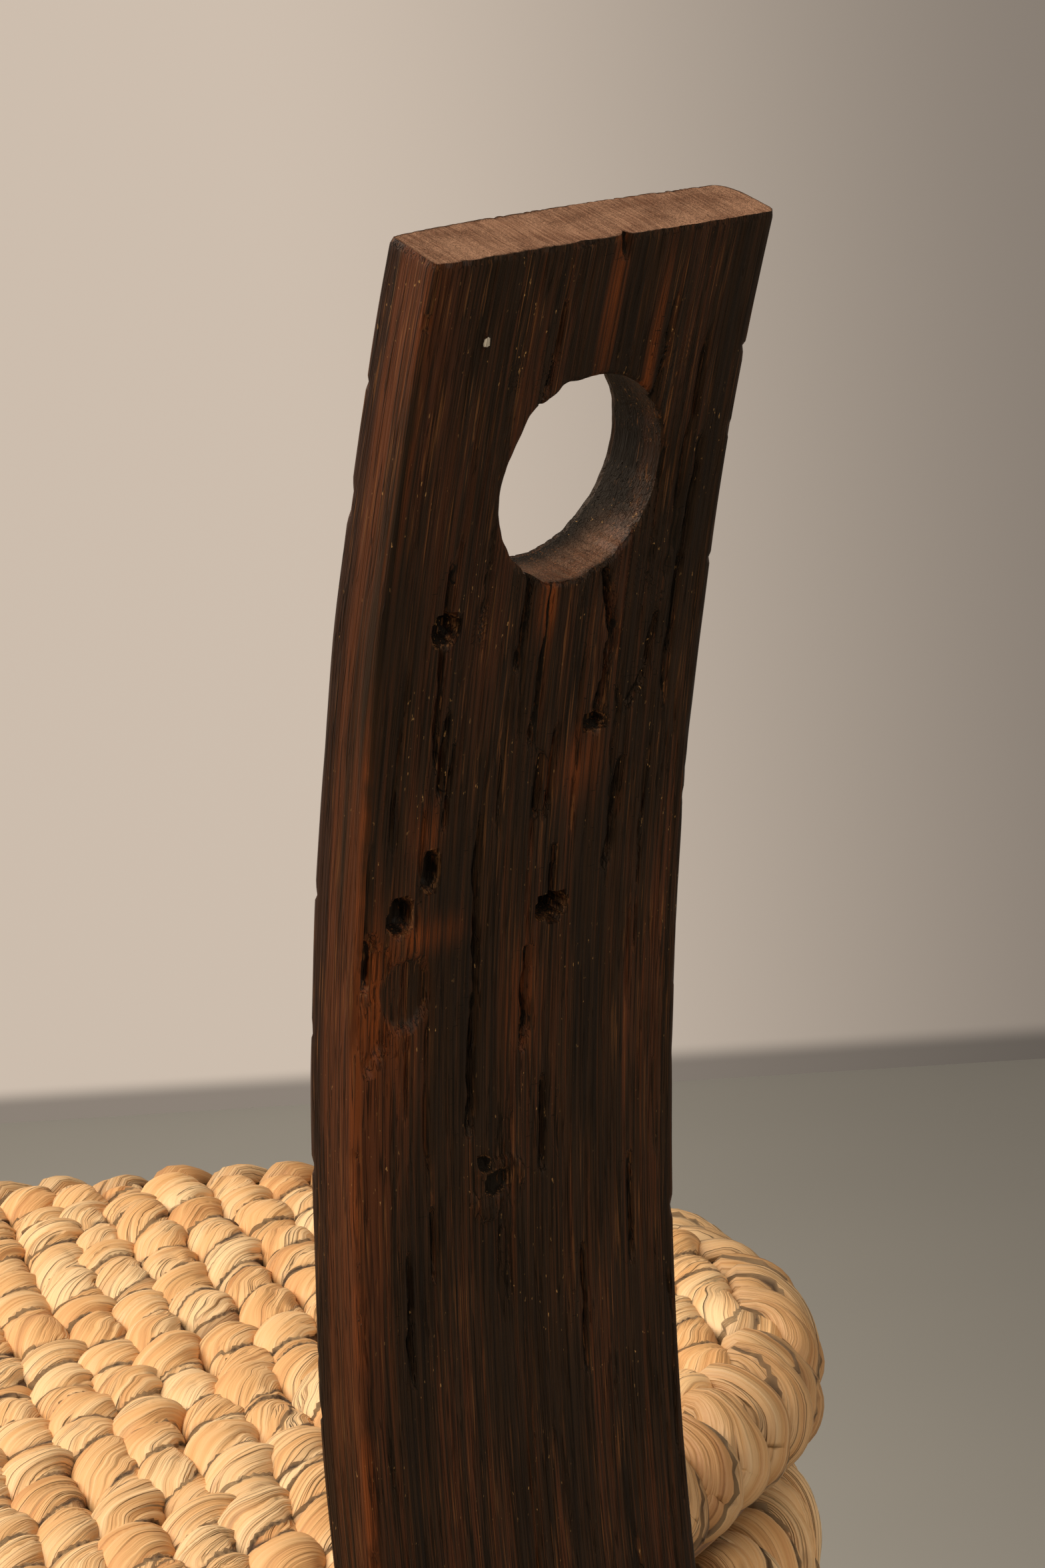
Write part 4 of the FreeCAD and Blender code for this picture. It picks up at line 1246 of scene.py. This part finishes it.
class STOOL_OT_stage(bpy.types.Operator):
    """Set the camera, the floor, the backdrop and the lamps"""

    bl_idname = "stool.stage"
    bl_label = "Stage"

    def along(self, finish, course, middle, length):
        """Rises from nothing at a point to one at a length along a course."""
        place = finish.node("TexCoord", output="Object")
        inputs = {0: place, 1: tuple(course)}
        reach = finish.node("VectorMath", inputs, output="Value", operation="DOT_PRODUCT")
        start = course.dot(middle)
        return reach.step(start, start + length)

    def floor_paint(self, shade, across, middle):
        """A plain matt finish with a faint mottle and painted shade that deepens it a little away from
        the lamps.
        """
        floor = Finish("stage_floor_paint")
        place = floor.node("TexCoord", output="Object")
        mottle = floor.noise(place, (1.5, 1.5, 1.5), 3.0, 0.5)
        # Painted shade: the floor darkens to one side.
        fade = 1 - 0.4 * self.along(floor, across, middle, 0.45)
        light = (0.94 + 0.06 * mottle.step(0.3, 0.7)) * fade
        floor.set(Base_Color=floor.mix(light, (0.0, 0.0, 0.0), shade), Roughness=0.8)
        return floor

    def backdrop(self, shade, across, middle):
        """A plain wall that shows its own colour to the camera, and nothing from behind.

        Painted shade deepens it to one side and lays a low dark strip along its foot.
        """
        wall = Finish("stage_wall_paint")
        rays = wall.node("LightPath", output="Is Camera Ray")
        for kind in ("Is Glossy Ray", "Is Transmission Ray"):
            rays = rays.most(wall.node("LightPath", output=kind))
        # Painted shade: a dark strip along the wall's foot and a fade to one side.
        foot = self.along(wall, Vector((0.0, 0.0, 1.0)), Vector((0.0, 0.0, 0.010)), 0.014)
        light = rays * (1 - 0.64 * self.along(wall, across, middle, 0.52)) * (0.4 + 0.6 * foot)
        wall.set(Base_Color=(0.02, 0.02, 0.02), Roughness=0.9, Emission_Strength=1.0)
        wall.set(Emission_Color=wall.mix(light, (0.0, 0.0, 0.0), shade))
        clear = wall.node("BsdfTransparent")
        behind = wall.node("NewGeometry", output="Backfacing")
        both = wall.node("MixShader", {0: behind, 1: Wire(wall, wall.shader.outputs[0]), 2: clear})
        wall.join(wall.tree.nodes["Material Output"].inputs["Surface"], both)
        return wall

    def sheet(self, name, corners, finish):
        """A flat four-cornered sheet of the stage."""
        mesh = bpy.data.meshes.new(name)
        mesh.from_pydata(corners, [], [(0, 1, 2, 3)])
        mesh.materials.append(finish.material)
        made = bpy.data.objects.new(name, mesh)
        bpy.context.scene.collection.objects.link(made)

    def lamp(self, name, place, size, power, shade):
        """A square soft lamp turned towards the stool."""
        light = bpy.data.lights.new(name, "AREA")
        light.shape = "SQUARE"
        light.size = size
        light.energy = power
        light.color = shade
        made = bpy.data.objects.new(name, light)
        made.location = place
        aim = Vector(LAMP_TARGET) - Vector(place)
        made.rotation_euler = aim.to_track_quat("-Z", "Y").to_euler()
        bpy.context.scene.collection.objects.link(made)

    def execute(self, context):
        scene = context.scene
        look = scene.stool_stage
        camera = bpy.data.cameras.new("view")
        camera.lens = look.lens
        camera.sensor_width = 36.0
        camera.sensor_fit = "AUTO"
        eye = bpy.data.objects.new("view", camera)
        back = VIEW_RIGHT.cross(VIEW_UP)
        turn = Matrix((VIEW_RIGHT, VIEW_UP, back)).transposed().to_4x4()
        rear = BACK_LOW.y + scene.stool_stave.thickness
        x, y, z = VIEW_PLACE
        eye.matrix_world = Matrix.Translation((x, rear + y, z)) @ turn
        scene.collection.objects.link(eye)
        scene.camera = eye
        ahead = Vector((-back.x, -back.y, 0.0)).normalized()
        across = Vector((VIEW_RIGHT.x, VIEW_RIGHT.y, 0.0)).normalized()
        middle = Vector((SEAT_X, SEAT_Y, 0.0))
        far = middle + ahead * look.wall_distance
        along = (across * math.cos(look.wall_turn) - ahead * math.sin(look.wall_turn)) * WALL_HALF
        rise = Vector((0.0, 0.0, WALL_HEIGHT))
        floor = self.floor_paint(look.floor, across, middle)
        square = ((-1, -1), (1, -1), (1, 1), (-1, 1))
        self.sheet("stage_floor", [(x * FLOOR_HALF, y * FLOOR_HALF, 0) for x, y in square], floor)
        corners = (far - along, far + along, far + along + rise, far - along + rise)
        self.sheet("stage_wall", corners, self.backdrop(look.wall, across, far + 0.05 * across))
        self.lamp("key", (0.95, -0.75, 1.95), 1.5, look.key_power, (1.0, 0.96, 0.90))
        self.lamp("fill", (-0.6, 1.85, 0.6), 1.1, look.fill_power, (1.0, 0.97, 0.93))
        world = bpy.data.worlds.new("even_light")
        world.use_nodes = True
        background = world.node_tree.nodes["Background"].inputs
        background["Color"].default_value = (1.0, 0.98, 0.95, 1.0)
        background["Strength"].default_value = look.sky
        scene.world = world
        scene.view_settings.view_transform = "Standard"
        return {"FINISHED"}


OPERATORS = (
    STOOL_OT_staves,
    STOOL_OT_seat_cords,
    STOOL_OT_rims,
    STOOL_OT_underside,
    STOOL_OT_hidden_wood,
    STOOL_OT_stage,
)


class STOOL_PT_panel(bpy.types.Panel):
    """Lists the stool's sizes, colours and making steps"""

    bl_idname = "STOOL_PT_panel"
    bl_label = "Fireside stool"
    bl_space_type = "VIEW_3D"
    bl_region_type = "UI"
    bl_category = "Stool"

    def draw(self, context):
        for operator in OPERATORS:
            self.layout.operator(operator.bl_idname)
        for group in (context.scene.stool_stave, context.scene.stool_cord, context.scene.stool_stage):
            box = self.layout.box()
            for name in group.__annotations__:
                box.prop(group, name)


CLASSES = (StaveLook, CordLook, StageLook, *OPERATORS, STOOL_PT_panel)


def register():
    """Adds the classes and the three groups of settings."""
    for made in CLASSES:
        bpy.utils.register_class(made)
    bpy.types.Scene.stool_stave = bpy.props.PointerProperty(type=StaveLook)
    bpy.types.Scene.stool_cord = bpy.props.PointerProperty(type=CordLook)
    bpy.types.Scene.stool_stage = bpy.props.PointerProperty(type=StageLook)


def unregister():
    """Takes the settings and the classes out again."""
    del bpy.types.Scene.stool_stage
    del bpy.types.Scene.stool_cord
    del bpy.types.Scene.stool_stave
    for made in reversed(CLASSES):
        bpy.utils.unregister_class(made)


def main():
    """Makes every piece and the stage."""
    register()
    bpy.ops.stool.staves()
    bpy.ops.stool.seat_cords()
    bpy.ops.stool.rims()
    bpy.ops.stool.underside()
    bpy.ops.stool.hidden_wood()
    bpy.ops.stool.stage()


if __name__ == "__main__":
    main()
